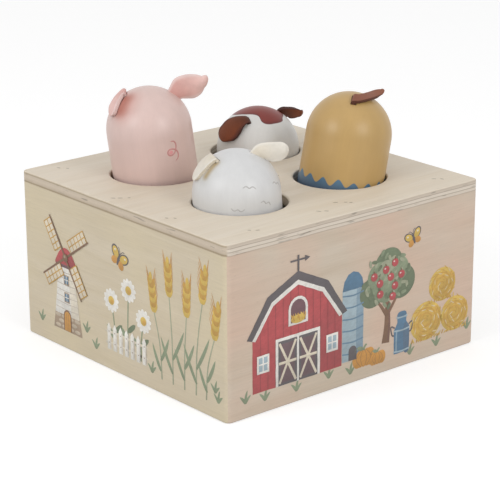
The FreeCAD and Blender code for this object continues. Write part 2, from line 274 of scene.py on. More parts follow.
def birchPlyBoard():
    # the top board: varnished veneer above, and sanded plies with dark glue lines round its edge
    material, tree, shader, place = newMaterial("birchPlyTopBoardSandedEdges")
    low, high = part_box("top_board")
    broad, streaks, flecks = woodFigure(tree, place, 0, birch)
    pale, deep = topPly["pale"], topPly["deep"]
    veneer = graded(tree, broad, birch["flame"], pale, deep, (0, topPly["figureStrength"]))
    wave = addNode(tree, "TexNoise", Vector=place, Scale=1 / (topPly["wave"] * mm), Detail=3.0)
    shift = addNode(tree, "MapRange", wave, *middling, -topPly["wander"] * mm, topPly["wander"] * mm)
    height = addNode(tree, "SeparateXYZ", place).outputs["Z"]
    moved = addNode(tree, "Math", height, shift, operation="ADD")
    share = addNode(tree, "MapRange", moved, low.z, high.z)
    facing = addNode(tree, "SeparateXYZ", addNode(tree, "NewGeometry").outputs["Normal"])
    sideways, level = [
        addNode(tree, "Math", facing.outputs[axis], operation="ABSOLUTE") for axis in "XZ"]
    longGrain, endGrain = [
        banded(addNode(tree, "ValToRGB", share), topPly[key]) for key in ("longGrain", "endGrain")]
    edge = graded(tree, sideways, (0.55, 0.75), longGrain, endGrain)
    gaps = drawnOut(tree, place, 2, topPly["gap"], Detail=1.0)
    gapped = shaded(tree, edge, gaps, topmost, (1, topPly["gapShade"]))
    colour = graded(tree, level, (0.55, 0.75), gapped, veneer)
    rough = addNode(tree, "MapRange", streaks, 0, 1, *topPly["roughness"])
    surfaced(tree, shader, tinted(tree, colour, streaks, flecks, birch), rough, streaks, birch["bumps"])
    return material


sawn = {"ringLength": 60, "streakStrength": 0.12, "fleckStrength": 0.25, "roughness": 0.62,
        "bumps": (0.3, 0.08)}      # mm


def plainWood(name, along, pale, deep, width):
    # planed or turned wood left bare: growth rings as straight soft stripes, pores and a dry surface
    material, tree, shader, place = newMaterial(name)
    wood = {**birch, **sawn, "figure": (sawn["ringLength"], width)}
    broad, streaks, flecks = woodFigure(tree, place, along, wood)
    rings = graded(tree, broad, (0.35, 0.65), pale, deep)
    colour = tinted(tree, rings, streaks, flecks, wood)
    surfaced(tree, shader, colour, wood["roughness"], streaks, wood["bumps"])
    return material


steel = {"colour": "#b9bab8", "bloomColour": "#a2a5a2", "scratch": (12, 0.15), "bloom": 3,      # mm
         "roughness": (0.26, 0.5), "bumps": (0.3, 0.02)}


def zincSteel(name, along):
    # zinc-plated steel, drawn or turned: a grey sheen broken by fine lines and pale bloom
    material, tree, shader, place = newMaterial(name)
    lines = drawnOut(tree, place, along, steel["scratch"])
    bloom = addNode(tree, "TexNoise", Vector=place, Scale=1 / (steel["bloom"] * mm), Detail=4.0)
    colour = graded(tree, bloom, (0, 1), steel["colour"], steel["bloomColour"])
    rough = addNode(tree, "MapRange", bloom, 0, 1, *steel["roughness"])
    surfaced(tree, shader, colour, rough, lines, steel["bumps"], {"Metallic": 1.0})
    return material


wallTones = {   # which way the grain runs, the veneer's two tones and the wash over them
    "left_board": (1, "#d4c7b0", "#c8b99b", "#d7c9aa"), "right_board": (1, "#d3c6b0", "#c5b59b", "#d4c5ad"),
    "front_board": (0, "#d1c3b1", "#c0ad96", "#d6b8a4"), "back_board": (0, "#d1c3ad", "#c0ad91", "#d3c3a3"),
}
bareWood = {    # which way the grain runs, its two tones, the width of its rings in mm, and the pieces
    "birchPlyBareBase": (0, "#cdb996", "#b79f78", 8, ["bottom_board"]),
    "spruceSawn": (2, "#d9bf8e", "#c0985f", 2.2, ["corner_blocks"]),
    "beechPlaned": (2, "#c9a27a", "#b0855c", 2.0, ["front_axle_post", "middle_axle_post", "back_axle_post"]),
    "beechShaped": (0, "#cba47c", "#b3895f", 2.0, ["front_rocker", "back_rocker"]),
    "beechTurned": (1, "#c9a27a", "#ad835b", 1.4, ["inner_spacers", "outer_spacers"]),
    "birchPlySawn": (0, "#d2bf9d", "#b99f78", 5, ["pig_disc", "cow_disc", "sheep_disc", "hen_disc"]),
    "beechTurnedFoot": (2, "#c9a27a", "#ad835b", 1.6, ["pig_foot", "cow_foot", "sheep_foot", "hen_foot"]),
}
steelParts = {  # which way the tool's lines run, and the pieces
    "zincSteelDrawn": (1, ["axle_rod"]),
    "zincSteelTurned": (2, ["base_screws", "pig_screw", "cow_screw", "sheep_screw", "hen_screw"]),
}
for node, tones in wallTones.items():
    wear(node, birchPlyFace("birchPlyVarnished_" + node, *tones))
wear("top_board", birchPlyBoard())
for kind, (along, pale, deep, width, nodes) in bareWood.items():
    for node in nodes:
        wear(node, plainWood(kind + "_" + node, along, pale, deep, width))
for kind, (along, nodes) in steelParts.items():
    for node in nodes:
        wear(node, zincSteel(kind + "_" + node, along))
print("box and works finished")


# the four pegs: each has its own leaning frame, read from its joint and its body

def pegFrame(name):
    joint = next(j for j in frame["joints"] if j["name"] == name + "_turn")
    axis = Vector(joint["axis"]).normalized()
    deck = Vector(joint["pos_m"])
    points = [v.co - deck for v in frame["nodes"][name + "_body"].data.vertices]
    heights = [p.dot(axis) for p in points]
    radius = max((p - axis * h).length for p, h in zip(points, heights))
    level = Vector((0, 1, 0))       # the pegs lean to the left or right, never to the front or back
    return {
        "radius": radius, "crown": deck + axis * (max(heights) - radius), "lean": math.atan2(axis.x, axis.z),
        "turn": Matrix((level.cross(axis), level, axis)).transposed()}


pegs = {name: pegFrame(name) for name in ("pig", "cow", "sheep", "hen")}


def onCrown(peg, azimuth, elevation, distance):
    # a point seen from the middle of a crown, in degrees and millimetres
    return peg["crown"] + peg["turn"] @ (direction(azimuth, elevation) * distance * mm)


lacquer = {
    "roughness": (0.38, 0.48), "bumps": (0.35, 0.05), "specular": 0.4, "coat": 0.22, "coatRoughness": 0.3,
    "fibre": (26, 0.9),              # beech fibre that shows through the paint, mm
    "band": (80, 5), "mottle": 7,    # broad soft bands along the grain, and cloudiness, mm
}


def satinLacquer(name, peg, paint, coat):
    # water-based satin paint sprayed on turned beech: smooth, a wide soft highlight, fibre just visible
    material, tree, shader, place = newMaterial(name)
    local = addNode(
        tree, "Mapping", place, peg["crown"], (0, peg["lean"], 0), vector_type="TEXTURE")
    fibre = drawnOut(tree, local, 2, lacquer["fibre"], Detail=3.0)
    bands = drawnOut(tree, local, 2, lacquer["band"], Detail=1.0)
    cloud = addNode(tree, "TexNoise", Vector=local, Scale=1 / (lacquer["mottle"] * mm), Detail=3.0)
    together = addNode(tree, "Math", bands, cloud, operation="ADD")
    clouded = shaded(tree, paint(tree, local, coat), together, (0.6, 1.4), (0.955, 1.03))
    colour = shaded(tree, clouded, fibre, middling, (0.985, 1.01))
    height = addNode(tree, "Math", fibre, bands, operation="ADD")
    rough = addNode(tree, "MapRange", cloud, 0, 1, *lacquer["roughness"])
    surfaced(tree, shader, colour, rough, height, lacquer["bumps"], {
        "Specular IOR Level": lacquer["specular"], "Coat Weight": lacquer["coat"],
        "Coat Roughness": lacquer["coatRoughness"]})
    return material


coats = {
    "pig": {
        "slot": "pink_lacquer", "ground": "#d4bab3",
        # painted shade in the crease where the left ear meets the head, partly a darker pink blush
        "sprays": [{"from": (182, 59), "to": (188, 45), "size": 10, "strength": 0.5, "colour": "#bd7a6d"},
                   {"from": (175, 61), "to": (182, 44), "size": 6, "strength": 0.85, "colour": "#ab6656"}],
    },
    "sheep": {
        "slot": "cream_white_lacquer", "ground": "#cfcfcf",
        # painted shadow of the left ear's near edge on the head: a wide soft grey shade and a narrow tan line
        "sprays": [{"from": (182, 58), "to": (176, 36), "size": 6, "strength": 0.5, "colour": "#b8b5ad"},
                   {"from": (183, 58), "to": (177, 37), "size": 2.8, "strength": 0.95, "colour": "#a8946f"}],
    },
    "cow": {
        "slot": "white_lacquer", "ground": "#d6d5d2", "patch": "#772013", "patchRim": "#58130d",
        "rimStrength": 0.75, "rimWidth": 0.07, "softness": 0.006,       # shares of a quarter turn
        # how far down the head the patch reaches, in degrees of elevation, for azimuths round the peg
        "outline": [(0, 53), (60, 47), (110, 44), (152, 52), (183, 59), (212, 62), (225, 60), (235, 49),
                    (245, 45.5), (262, 46), (285, 48), (298, 53), (330, 55), (360, 53)],
    },
    "hen": {
        # the darker blue is painted shade, low on the skirt towards the deck
        "slot": "ochre_lacquer", "ground": "#b7965e", "blue": "#4f7791", "deepBlue": "#454f63",
        "tipCount": 17, "tipHeight": 2.8, "uneven": 0.4, "wobble": 8,    # feather tips along the skirt, mm
        "border": (-22.25, -21.95), "fade": (-27, -18),                  # mm over the crown's middle
        "lowSide": 227, "slope": 0.13,                                   # the skirt hangs lower on this side
    },
}


def airbrushed(tree, local, coat):
    # one plain colour, with soft lines over the crown: painted shade where an ear meets the head, on the pig
    # partly a pink blush
    colour = coat["ground"]
    for spot in coat.get("sprays", []):
        start, stop = [direction(*spot[key]) * coat["radius"] for key in ("from", "to")]
        run = stop - start
        offset = addNode(tree, "VectorMath", local, start, operation="SUBTRACT")
        ahead = addNode(tree, "VectorMath", offset, run, operation="DOT_PRODUCT")
        share = addNode(tree, "MapRange", ahead, 0, run.dot(run))
        nearest = addNode(tree, "VectorMath", run, operation="SCALE", Scale=share)
        away = addNode(tree, "VectorMath", offset, nearest, operation="DISTANCE")
        colour = graded(
            tree, away, (0, spot["size"] * mm), colour, spot["colour"], (spot["strength"], 0), "SMOOTHSTEP")
    return colour


def roundThePeg(tree, local):
    # azimuth as a share of a turn, from 0 to 1, and the parts of the local place
    parts = addNode(tree, "SeparateXYZ", local)
    angle = addNode(tree, "Math", parts.outputs["Y"], parts.outputs["X"], operation="ARCTAN2")
    turns = addNode(tree, "Math", angle, 0.5 / math.pi, 1.0, operation="MULTIPLY_ADD")
    return addNode(tree, "Math", turns, operation="FRACT"), parts


def cowHide(tree, local, coat):
    # a patch over the head with a hand-painted outline and a darker rim
    share, parts = roundThePeg(tree, local)
    edge = addNode(tree, "FloatCurve", Value=share)
    curveThrough(edge, [(turn / 360, height / 90) for turn, height in coat["outline"]])
    length = addNode(tree, "VectorMath", local, operation="LENGTH")
    steepness = addNode(tree, "Math", parts.outputs["Z"], length, operation="DIVIDE")
    rise = addNode(tree, "Math", steepness, operation="ARCSINE")
    elevation = addNode(tree, "Math", rise, math.pi / 2, operation="DIVIDE")
    above = addNode(tree, "Math", elevation, edge, operation="SUBTRACT")
    patch = graded(tree, above, (0, coat["rimWidth"]), coat["patch"], coat["patchRim"],
                   (coat["rimStrength"], 0), "SMOOTHSTEP")
    return graded(tree, above, (-coat["softness"], coat["softness"]), coat["ground"], patch)


def henFeathers(tree, local, coat):
    # a blue skirt whose upper border is a row of feather tips
    share, parts = roundThePeg(tree, local)
    count = addNode(tree, "Math", share, coat["tipCount"], operation="MULTIPLY")
    wave = addNode(tree, "Math", count, 0.5, operation="PINGPONG")
    tip = addNode(tree, "MapRange", wave, 0, 0.5, 0, coat["tipHeight"] * mm, interpolation_type="SMOOTHSTEP")
    downhill = direction(coat["lowSide"], 0) * coat["slope"]
    lowered = addNode(tree, "VectorMath", local, downhill, operation="DOT_PRODUCT")
    rise = addNode(tree, "Math", coat["slope"] * coat["radius"], lowered, operation="SUBTRACT")
    wobble = addNode(tree, "TexNoise", Vector=local, Scale=1 / (coat["wobble"] * mm), Detail=0.0)
    uneven = addNode(tree, "MapRange", wobble, *middling, -coat["uneven"] * mm, coat["uneven"] * mm)
    level = parts.outputs["Z"]
    for part in (tip, rise, uneven):
        level = addNode(tree, "Math", level, part, operation="SUBTRACT")
    border, fade = [[height * mm for height in coat[key]] for key in ("border", "fade")]
    # the blue gets darker towards the deck: painted shade
    blue = graded(tree, parts.outputs["Z"], fade, coat["blue"], coat["deepBlue"], (1, 0))
    return graded(tree, level, border, coat["ground"], blue, (1, 0))


for name, paint in {"pig": airbrushed, "sheep": airbrushed, "cow": cowHide, "hen": henFeathers}.items():
    coats[name]["radius"] = pegs[name]["radius"]
    wear(name + "_body", satinLacquer("satinPaintOnBeech_" + name, pegs[name], paint, coats[name]))
print("pegs painted")


# soft leather ears and the comb

leather = {
    "pebble": 0.7, "cloud": 4, "fibre": 0.5,      # grain of the faces and of the cut edge, mm
    "roughness": 0.62, "bumps": (0.5, 0.12), "specular": 0.3, "sheen": 0.05, "sheenRoughness": 0.5,
    "cutRoughness": 0.8, "cutBumps": (0.5, 0.1),
    "bevel": 0.35, "bevelSteps": 3, "bevelFrom": 50,    # mm, and degrees between the faces that it rounds
    "rowsPerStep": 6, "columns": 12, "weld": 0.02, "bowRise": 3, "bowFall": 6, "rimPower": 8,
}


def softLeather(name, colour, rootColour, rimColour):
    # thin dyed cow leather, cut out and left matt: fine pebbling, darker towards the root, and another tone
    # near the edges
    material, tree, shader, place = newMaterial(name)
    pebble = addNode(
        tree, "TexVoronoi", place, feature="SMOOTH_F1", Scale=1 / (leather["pebble"] * mm), Smoothness=0.6)
    cloud = addNode(tree, "TexNoise", Vector=place, Scale=1 / (leather["cloud"] * mm), Detail=4.0)
    along, across = [addNode(tree, "Attribute", attribute_name=key).outputs["Fac"]
                     for key in ("along", "across")]
    rooted = graded(tree, along, (0.15, 0.7), colour, rootColour, (0.9, 0), "SMOOTHSTEP")
    rimmed = graded(tree, across, (0.62, 0.95), rooted, rimColour, (0, 0.9), "SMOOTHSTEP")
    height = addNode(tree, "Math", pebble, cloud, operation="ADD")
    colour = shaded(tree, rimmed, cloud, middling, (0.93, 1.05))
    surfaced(tree, shader, colour, leather["roughness"], height, leather["bumps"], {
        "Specular IOR Level": leather["specular"], "Sheen Weight": leather["sheen"],
        "Sheen Roughness": leather["sheenRoughness"]})
    return material


def cutLeather(name, colour):
    # the raw cut edge of leather: fibrous, a different tone from the dyed faces
    material, tree, shader, place = newMaterial(name)
    fibres = addNode(tree, "TexNoise", Vector=place, Scale=1 / (leather["fibre"] * mm), Detail=3.0)
    colour = shaded(tree, colour, fibres, middling, (0.85, 1.08))
    surfaced(tree, shader, colour, leather["cutRoughness"], fibres, leather["cutBumps"])
    return material


dyes = {    # slot and name, then the tones of the face, of its root, of the band near its edges and of the cut edge
    "pig": ("pink_leather", "Pink", "#e3beb7", "#d5a29a", "#e2cac6", "#dfc3bd"),
    "cow": ("brown_leather", "Brown", "#7a3c1b", "#472012", "#552719", "#3f1d14"),
    "sheep": ("cream_leather", "Cream", "#e0dacf", "#d8cebc", "#e2ddd3", "#d8cebb"),
    "hen": ("russet_leather", "Russet", "#895946", "#784837", "#82523f", "#5e3629"),
}
hides = {animal: (slotName, softLeather("leatherSoft" + dye, *tones), cutLeather("leatherCut" + dye, cut))
         for animal, (slotName, dye, *tones, cut) in dyes.items()}

# each flap by its two edges from the root in its slot to the tip: azimuth, elevation, and distance from
# the crown's middle in mm; the bow lifts the middle of the flap off the line between its edges
flaps = {
    "pig_right_ear": {
        "thickness": 1.7, "bow": 1.1, "bowWay": (246, 8), "tip": (336, 31.2, 34.9),
        "upper": [(336, 57.5, 16.1), (336, 55.4, 19.9), (336, 54.8, 25.6), (336, 48.6, 29.4),
                  (336, 40.9, 32.3), (336, 34.8, 33.8)],
        "lower": [(336, 32.5, 16.1), (336, 34.8, 19.9), (336, 29.6, 22.4), (336, 24.6, 25.3),
                  (336, 24.5, 28.7), (336, 27.4, 31.3)]},
    "pig_left_ear": {
        "thickness": 1.55, "bow": 0.4, "bowWay": None, "tip": (168, 33, 20.7),
        "upper": [(108.5, 58.1, 16.1), (112.3, 59.3, 19.9), (118, 62.5, 21.2), (123, 56, 21.1),
                  (132, 48, 20.9), (144, 40, 20.8)],
        "lower": [(160.1, 63.2, 16.1), (155, 63.6, 19.9), (159, 62.5, 21.1), (165, 56.5, 21), (170, 50, 20.9),
                  (173.5, 43, 20.8)]},
    "cow_right_ear": {
        "thickness": 1.7, "bow": 0.8, "bowWay": (264, 35), "tip": (355, 30.2, 29),
        "upper": [(354, 60.5, 16.1), (354, 58.7, 19.9), (345.5, 56, 22.3), (346.5, 49, 24.3),
                  (348.6, 42.6, 26.3), (351, 37.2, 27.9)],
        "lower": [(354, 39.5, 16.1), (354, 41.3, 19.9), (358.3, 37.4, 21.8), (360, 32.8, 23.2),
                  (359.8, 29.3, 25.4), (358.4, 28.6, 27.1)]},
    "cow_left_ear": {
        "thickness": 1.6, "bow": 0.8, "bowWay": None, "tip": (173.5, 13.8, 21),
        "upper": [(201, 54, 16.1), (198.9, 53, 19.9), (193.5, 50.6, 21.1), (177, 46.5, 21.3),
                  (163.6, 38.8, 21.3), (158.5, 29, 21.2)],
        "lower": [(211.5, 45, 16.1), (209.6, 44.5, 19.9), (206.8, 42.2, 21.1), (203, 36, 21.3),
                  (201.3, 29.5, 21.3), (197.5, 21.5, 21.2)]},
    "sheep_right_ear": {
        "thickness": 1.7, "bow": 0.9, "bowWay": (234, 12), "tip": (324, 37.4, 29.6),
        "upper": [(324, 70.5, 16.1), (324, 68.2, 19.9), (324, 63.6, 23.8), (324, 55.3, 26.7),
                  (324, 48.3, 29)],
        "lower": [(324, 45.5, 16.1), (324, 47.8, 19.9), (324, 44, 20.7), (324, 38.7, 21.4),
                  (324, 34.6, 23.6)]},
    "sheep_left_ear": {
        "thickness": 1.5, "bow": 0.4, "bowWay": None, "tip": (154, 26, 20.4),
        "upper": [(137.4, 59.8, 16.1), (141.8, 60.7, 19.9), (139, 61, 20.8), (134, 52, 20.7), (133, 43, 20.6),
                  (139, 34, 20.5)],
        "lower": [(188.6, 59.8, 16.1), (184.2, 60.7, 19.9), (180.5, 59, 20.7), (174.5, 51, 20.6),
                  (171, 43, 20.5), (166.5, 35.5, 20.5)]},
    "hen_comb": {
        "thickness": 1.7, "bow": 0.1, "bowWay": (130, 60), "tip": (312.4, 60.8, 25.8),
        "upper": [(224, 70.4, 16.5), (224, 68.4, 19.9), (225.5, 64.5, 20.9), (236, 64.5, 21.2),
                  (258, 68.6, 21.5), (307.8, 70, 22.5), (312.3, 64.4, 25.3)],
        "lower": [(224, 47.6, 16.5), (224, 49.6, 19.9), (222.7, 50.2, 20.9), (234.9, 52.2, 21),
                  (256, 57.2, 21.3), (290, 61.1, 21.9), (310.5, 59.9, 23.6)]},
}


def makeFlap(node, flap):
    animal, *rest = node.split("_")
    peg = pegs[animal]
    upper, lower = [[onCrown(peg, *place) for place in flap[key]] for key in ("upper", "lower")]
    tip = onCrown(peg, *flap["tip"])
    middle = (upper[-1] + lower[-1]) / 2
    form = bmesh.new()
    alongLayer, acrossLayer = [form.verts.layers.float.new(key) for key in ("along", "across")]
    straight = leather["rowsPerStep"] * (len(upper) - 1)
    steps = straight + leather["rowsPerStep"] * 2
    columns = leather["columns"]
    rows = []
    for i in range(steps + 1):
        share = i / steps
        if i <= straight:
            top, bottom = [throughPoints(edge, i / straight) for edge in (upper, lower)]
        else:   # the tip is a half round
            turn = (i - straight) / (steps - straight) * math.pi / 2
            ahead = middle + (tip - middle) * math.sin(turn)
            top, bottom = [ahead + (edge[-1] - middle) * math.cos(turn) for edge in (upper, lower)]
        row = []
        for j in range(columns + 1):
            side = 2 * j / columns - 1
            place = top.lerp(bottom, j / columns)
            out = peg["turn"] @ direction(*flap["bowWay"]) if flap["bowWay"] else place - peg["crown"]
            fade = min(1, share * leather["bowRise"], (1 - share) * leather["bowFall"])
            lift = flap["bow"] * mm * (1 - side * side) * fade
            vert = form.verts.new(place + out.normalized() * lift)
            vert[alongLayer] = share
            vert[acrossLayer] = max(abs(side), share ** leather["rimPower"])
            row.append(vert)
        rows.append(row)
    for low, high in zip(rows, rows[1:]):
        for j in range(columns):
            form.faces.new((low[j], low[j + 1], high[j + 1], high[j]))
    bmesh.ops.remove_doubles(form, verts=form.verts, dist=leather["weld"] * mm)
    bmesh.ops.recalc_face_normals(form, faces=form.faces)
    slotName, face, cut = hides[animal]
    name = animal + "".join(word.capitalize() for word in rest)
    piece = newPiece(name, finished(name, form, [face, cut], True), animal)
    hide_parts(node)
    settings = {
        "SOLIDIFY": {"thickness": flap["thickness"] * mm, "offset": 0, "material_offset_rim": 1},
        "BEVEL": {"width": leather["bevel"] * mm, "segments": leather["bevelSteps"],
                  "limit_method": "ANGLE", "angle_limit": math.radians(leather["bevelFrom"])},
    }
    for kind, values in settings.items():
        modifier = piece.modifiers.new(kind.lower(), kind)
        for key, value in values.items():
            setattr(modifier, key, value)


for node, flap in flaps.items():
    makeFlap(node, flap)
print("ears and comb made")


# printed pictures: drawn flat in mm, x to the right and y up as the viewer of each wall sees it

inks = {
    "yellow": "#d9b758", "straw": "#c99b45", "ochre": "#cf9546", "red": "#b9484f", "deepRed": "#8d3740",
    "plum": "#6b4a54", "charcoal": "#57545a", "blue": "#4d7896", "paleBlue": "#a3b8c2", "sage": "#a3a98f",
    "leafGreen": "#87967a", "deepGreen": "#68795f", "white": "#efece5", "cream": "#e3d8c3",
    "taupe": "#a8937f", "brown": "#7d5d47", "pink": "#d9a195", "seed": "#8d8270",
}
printing = {
    "lift": 0.03, "layer": 0.005,              # height of the first layer of ink and of each one over it, mm
    "edgeStep": 2.4, "edgeWobble": 0.09,       # a hand-drawn waver in straight edges, mm
    "rim": (0.5, 0.45), "softRim": (3.0, 1.1),    # widest rim in mm, and as a share of area over outline
    "dabSteps": 9, "dabBend": 1.0, "dabLayer": 0.3, "tuftSize": 1.1,
}


def roundOutline(points, steps=5):
    # a smooth closed line through every point
    outline = []
    for i in range(len(points)):
        four = [points[(i + k - 1) % len(points)] for k in range(4)]
        outline += [throughPoints(four, (1 + j / steps) / 3) for j in range(steps)]
    return outline


def straightOutline(points, dice):
    outline = []
    for start, stop in zip(points, points[1:] + points[:1]):
        cuts = max(1, round((stop - start).length / printing["edgeStep"]))
        outline.append(start)
        for k in range(1, cuts):
            waver = Vector((dice.uniform(-1, 1), dice.uniform(-1, 1))) * printing["edgeWobble"]
            outline.append(start.lerp(stop, k / cuts) + waver)
    return outline


def turned(p, q, degrees):
    a = math.radians(degrees)
    return (p * math.cos(a) - q * math.sin(a), p * math.sin(a) + q * math.cos(a))


def oval(x, y, wide, high, turn=0.0, count=12):
    ring = [turned(wide * math.cos(t), high * math.sin(t), turn)
            for t in [2 * math.pi * k / count for k in range(count)]]
    return [(x + p, y + q) for p, q in ring]


def rect(x, y, wide, high):
    return [(x, y), (x + wide, y), (x + wide, y + high), (x, y + high)]


def arch(x, y, wide, high):
    top = [(x + wide / 2 * (1 + math.cos(t)), y + high - wide / 2 * (1 - math.sin(t)))
           for t in [math.pi * k / 8 for k in range(9)]]
    return [(x, y), (x + wide, y)] + top


def strip(path, width, endWidth=None, steps=12):
    # the outline of one brush line along a path, wide at the start and as wide as asked at the end
    line = [Vector(p) for p in path]
    left, right = [], []
    for k in range(steps + 1):
        here, ahead, behind = [throughPoints(line, share) for share in (
            k / steps, min(1.0, k / steps + 0.02), max(0.0, k / steps - 0.02))]
        way = ahead - behind
        half = (width + ((endWidth or width) - width) * k / steps) / 2
        side = Vector((-way.y, way.x)).normalized() * half
        left.append(tuple(here + side))
        right.append(tuple(here - side))
    return right + left[::-1]


def strewn(count, reach, squash, first=0.5, turn=0.0):
    # evenly strewn places in an ellipse, as seeds lie in a sunflower
    for k in range(count):
        a = turn + k * 2.4
        r = reach * math.sqrt((k + first) / count)
        yield k, math.degrees(a), r * math.cos(a), r * squash * math.sin(a)


class Brush:
    # draws one motif in its own mm, each mark over the ones before it; an ink is its name, or its name with
    # how much it covers, or both with the ink that it is mixed with where it lies over one

    def __init__(self, sheet, x, y, size):
        self.sheet = sheet
        self.dice = sheet["dice"]
        self.x = x
        self.y = y
        self.size = size
        self.layer = 0.0

    def put(self, p, q):
        return (self.x + p * self.size, self.y + q * self.size)

    def mark(self, kind, ink, depth, more):
        name, cover, under = (ink, 1.0, None) if isinstance(ink, str) else (*ink, None)[:3]
        colour = linear(inks[name])
        if under:
            colour = tuple(a * cover + b * (1 - cover) for a, b in zip(colour, linear(inks[under])))
            cover = 1.0
        self.layer += depth
        self.sheet[kind].append({"ink": colour, "cover": cover, "layer": self.layer, **more})

    def shape(self, points, ink, smooth=False, soft=False):
        outline = [Vector(self.put(p, q)) for p, q in points]
        outline = roundOutline(outline) if smooth else straightOutline(outline, self.dice)
        self.mark("shapes", ink, 1, {"outline": outline, "soft": soft})

    def blob(self, x, y, wide, high, ink, turn=0.0, count=12, soft=False):
        self.shape(oval(x, y, wide, high, turn, count), ink, True, soft)

    def line(self, path, width, ink, endWidth=None, steps=12):
        self.shape(strip(path, width, endWidth, steps), ink)

    def dab(self, p, q, turn, length, width, ink, kind="leaf"):
        self.mark("dabs", ink, printing["dabLayer"], {
            "at": self.put(p, q), "turn": turn, "long": length * self.size, "wide": width * self.size,
            "kind": kind})


def windmill(brush):
    brush.shape([(-11.5, 0), (11.5, 0), (10, 8.6), (-10, 8.6)], "taupe")
    for k in range(3):
        for j in range(4 - k % 2):
            brush.blob(-7.8 + 5.2 * j + 2.6 * (k % 2), 1.7 + 2.6 * k, 2.2, 0.9, ("cream", 0.5, "taupe"))
    brush.shape([(-9.8, 8), (9.8, 8), (6, 33), (-6, 33)], "white")
    brush.shape([(3.2, 8), (9.8, 8), (6, 33), (1.8, 33)], ("cream", 0.75, "white"))
    for k in range(7):
        half, y = 9.2 - 0.46 * k, 3.1 * k
        brush.line([(-half, 11.2 + y), (0, 10.8 + y), (half, 11.2 + y)], 0.35, ("taupe", 0.6, "white"))
    brush.shape(arch(-3.1, 0.3, 6.2, 10.6), "brown")
    brush.shape(arch(-2.4, 0.3, 4.8, 9.7), "ochre")
    for x in (-0.8, 0.8):
        brush.line([(x, 0.6), (x, 9)], 0.3, ("brown", 0.6, "ochre"))
    for y in (14.6, 23.4):
        brush.shape(rect(-2.1, y, 4.2, 5), "taupe")
        brush.shape(rect(-1.5, y + 0.6, 3, 3.8), "blue")
        brush.line([(0, y + 0.4), (0, y + 4.6)], 0.4, "white")
        brush.line([(-1.6, y + 2.5), (1.6, y + 2.5)], 0.4, "white")
    brush.shape([(-7.6, 32.4), (7.6, 32.4), (6.6, 37), (3.4, 40.6), (0, 41.8), (-3.4, 40.6), (-6.6, 37)],
                "red", True)
    brush.shape([(2.2, 33.4), (6.9, 33.4), (6, 36.8), (3.4, 39.6)], ("deepRed", 0.55, "red"), True)
    brush.line([(-7.8, 32.6), (7.8, 32.6)], 1.5, "plum")
    for angle in (33, 123, 213, 303):
        def on(r, s):
            p, q = turned(r, s, angle)
            return p, 37 + q

        brush.shape([on(6, 0.3), on(21, 0.3), on(21, 6.2), on(6, 6.2)], "cream")
        for r in range(6, 24, 3):
            brush.line([on(r, 0.2), on(r, 6.4)], 0.5, "straw")
        for s in (3.2, 6.2):
            brush.line([on(6, s), on(21.2, s)], 0.5, "straw")
        brush.line([on(0, 0), on(22.2, 0)], 1.3, "brown", 0.8)
    brush.blob(0, 37, 2.1, 2.1, "brown")
    brush.blob(-0.4, 37.5, 0.8, 0.7, "taupe")


def barn(brush):
    brush.shape([(0, 0), (46, 0), (46, 24), (37.4, 36), (23, 42.6), (8.6, 36), (0, 24)], "red")
    brush.shape([(34, 0), (46, 0), (46, 24), (40, 32), (35, 24)], ("deepRed", 0.4, "red"))
    for k in range(1, 12):
        x = k * 3.84
        far = abs(x - 23)
        top = 42 - far * 0.46 if far < 14.4 else 36 - (far - 14.4) * 1.4
        brush.line([(x, 0.4), (x + 0.15, top / 2), (x, top - 0.8)], 0.35, ("deepRed", 0.8, "red"))
    brush.shape([(-2.8, 22.6), (0.2, 21.6), (9.6, 34.6), (23, 40.8), (36.4, 34.6), (45.8, 21.6), (48.8, 22.6),
                 (38.6, 37.6), (23, 45), (7.4, 37.6)], "charcoal")
    brush.shape([(-0.2, 21.8), (1.4, 21.2), (10.4, 33.6), (23, 39.4), (35.6, 33.6), (44.6, 21.2),
                 (46.2, 21.8), (36.4, 35.2), (23, 41.4), (9.6, 35.2)], "white")
    brush.shape(rect(11.6, 0, 22.8, 19.6), "white")
    for x in (12.9, 23.5):
        brush.shape(rect(x, 0, 9.6, 18.3), "charcoal")
        brush.shape(rect(x + 1.2, 1.2, 7.2, 15.9), ("plum", 0.6, "charcoal"))
        for path in ([(x + 0.6, 0.9), (x + 9, 17.5)], [(x + 9, 0.9), (x + 0.6, 17.5)],
                     [(x + 0.3, 9.2), (x + 9.3, 9.2)]):
            brush.line(path, 1.1, "cream")
    brush.shape(arch(18, 23.4, 10, 11.4), "white")
    brush.shape(arch(19.2, 24.4, 7.6, 9.2), "plum")
    brush.blob(23, 25.6, 3.7, 1.7, "yellow")
    for k in range(11):
        brush.dab(19.8 + 0.64 * k, 24.9, brush.dice.uniform(-35, 35), 3.2, 0.7, ("straw", "yellow")[k % 2],
                  "bladeLeft")
    for x in (3, 38.6):
        brush.shape(rect(x - 0.9, 7.6, 6.2, 7.4), "white")
        brush.shape(rect(x, 8.5, 4.4, 5.6), "paleBlue")
        brush.line([(x + 2.2, 8.3), (x + 2.2, 14.3)], 0.6, "white")
        brush.line([(x - 0.2, 11.3), (x + 4.6, 11.3)], 0.6, "white")
    brush.line([(23, 45), (23, 51.4)], 0.9, "charcoal")
    brush.line([(19, 49.4), (27, 49.4)], 0.7, "charcoal")
    brush.shape([(26.4, 48.2), (29, 49.4), (26.4, 50.6)], "charcoal")


def silo(brush):
    brush.shape(rect(0, 0, 13, 34), "paleBlue")
    brush.shape(rect(8.6, 0, 4.4, 34), ("blue", 0.45, "paleBlue"))
    brush.shape([(0, 34), (13, 34), (12, 38.6), (9.6, 41.6), (6.5, 42.6), (3.4, 41.6), (1, 38.6)], "blue")
    for k in range(6):
        y = 5.6 * k
        brush.line([(0, 4 + y), (6.5, 3.2 + y), (13, 4 + y)], 0.7, ("blue", 0.8, "paleBlue"))
    brush.shape(arch(4, 0, 5, 7), "charcoal")


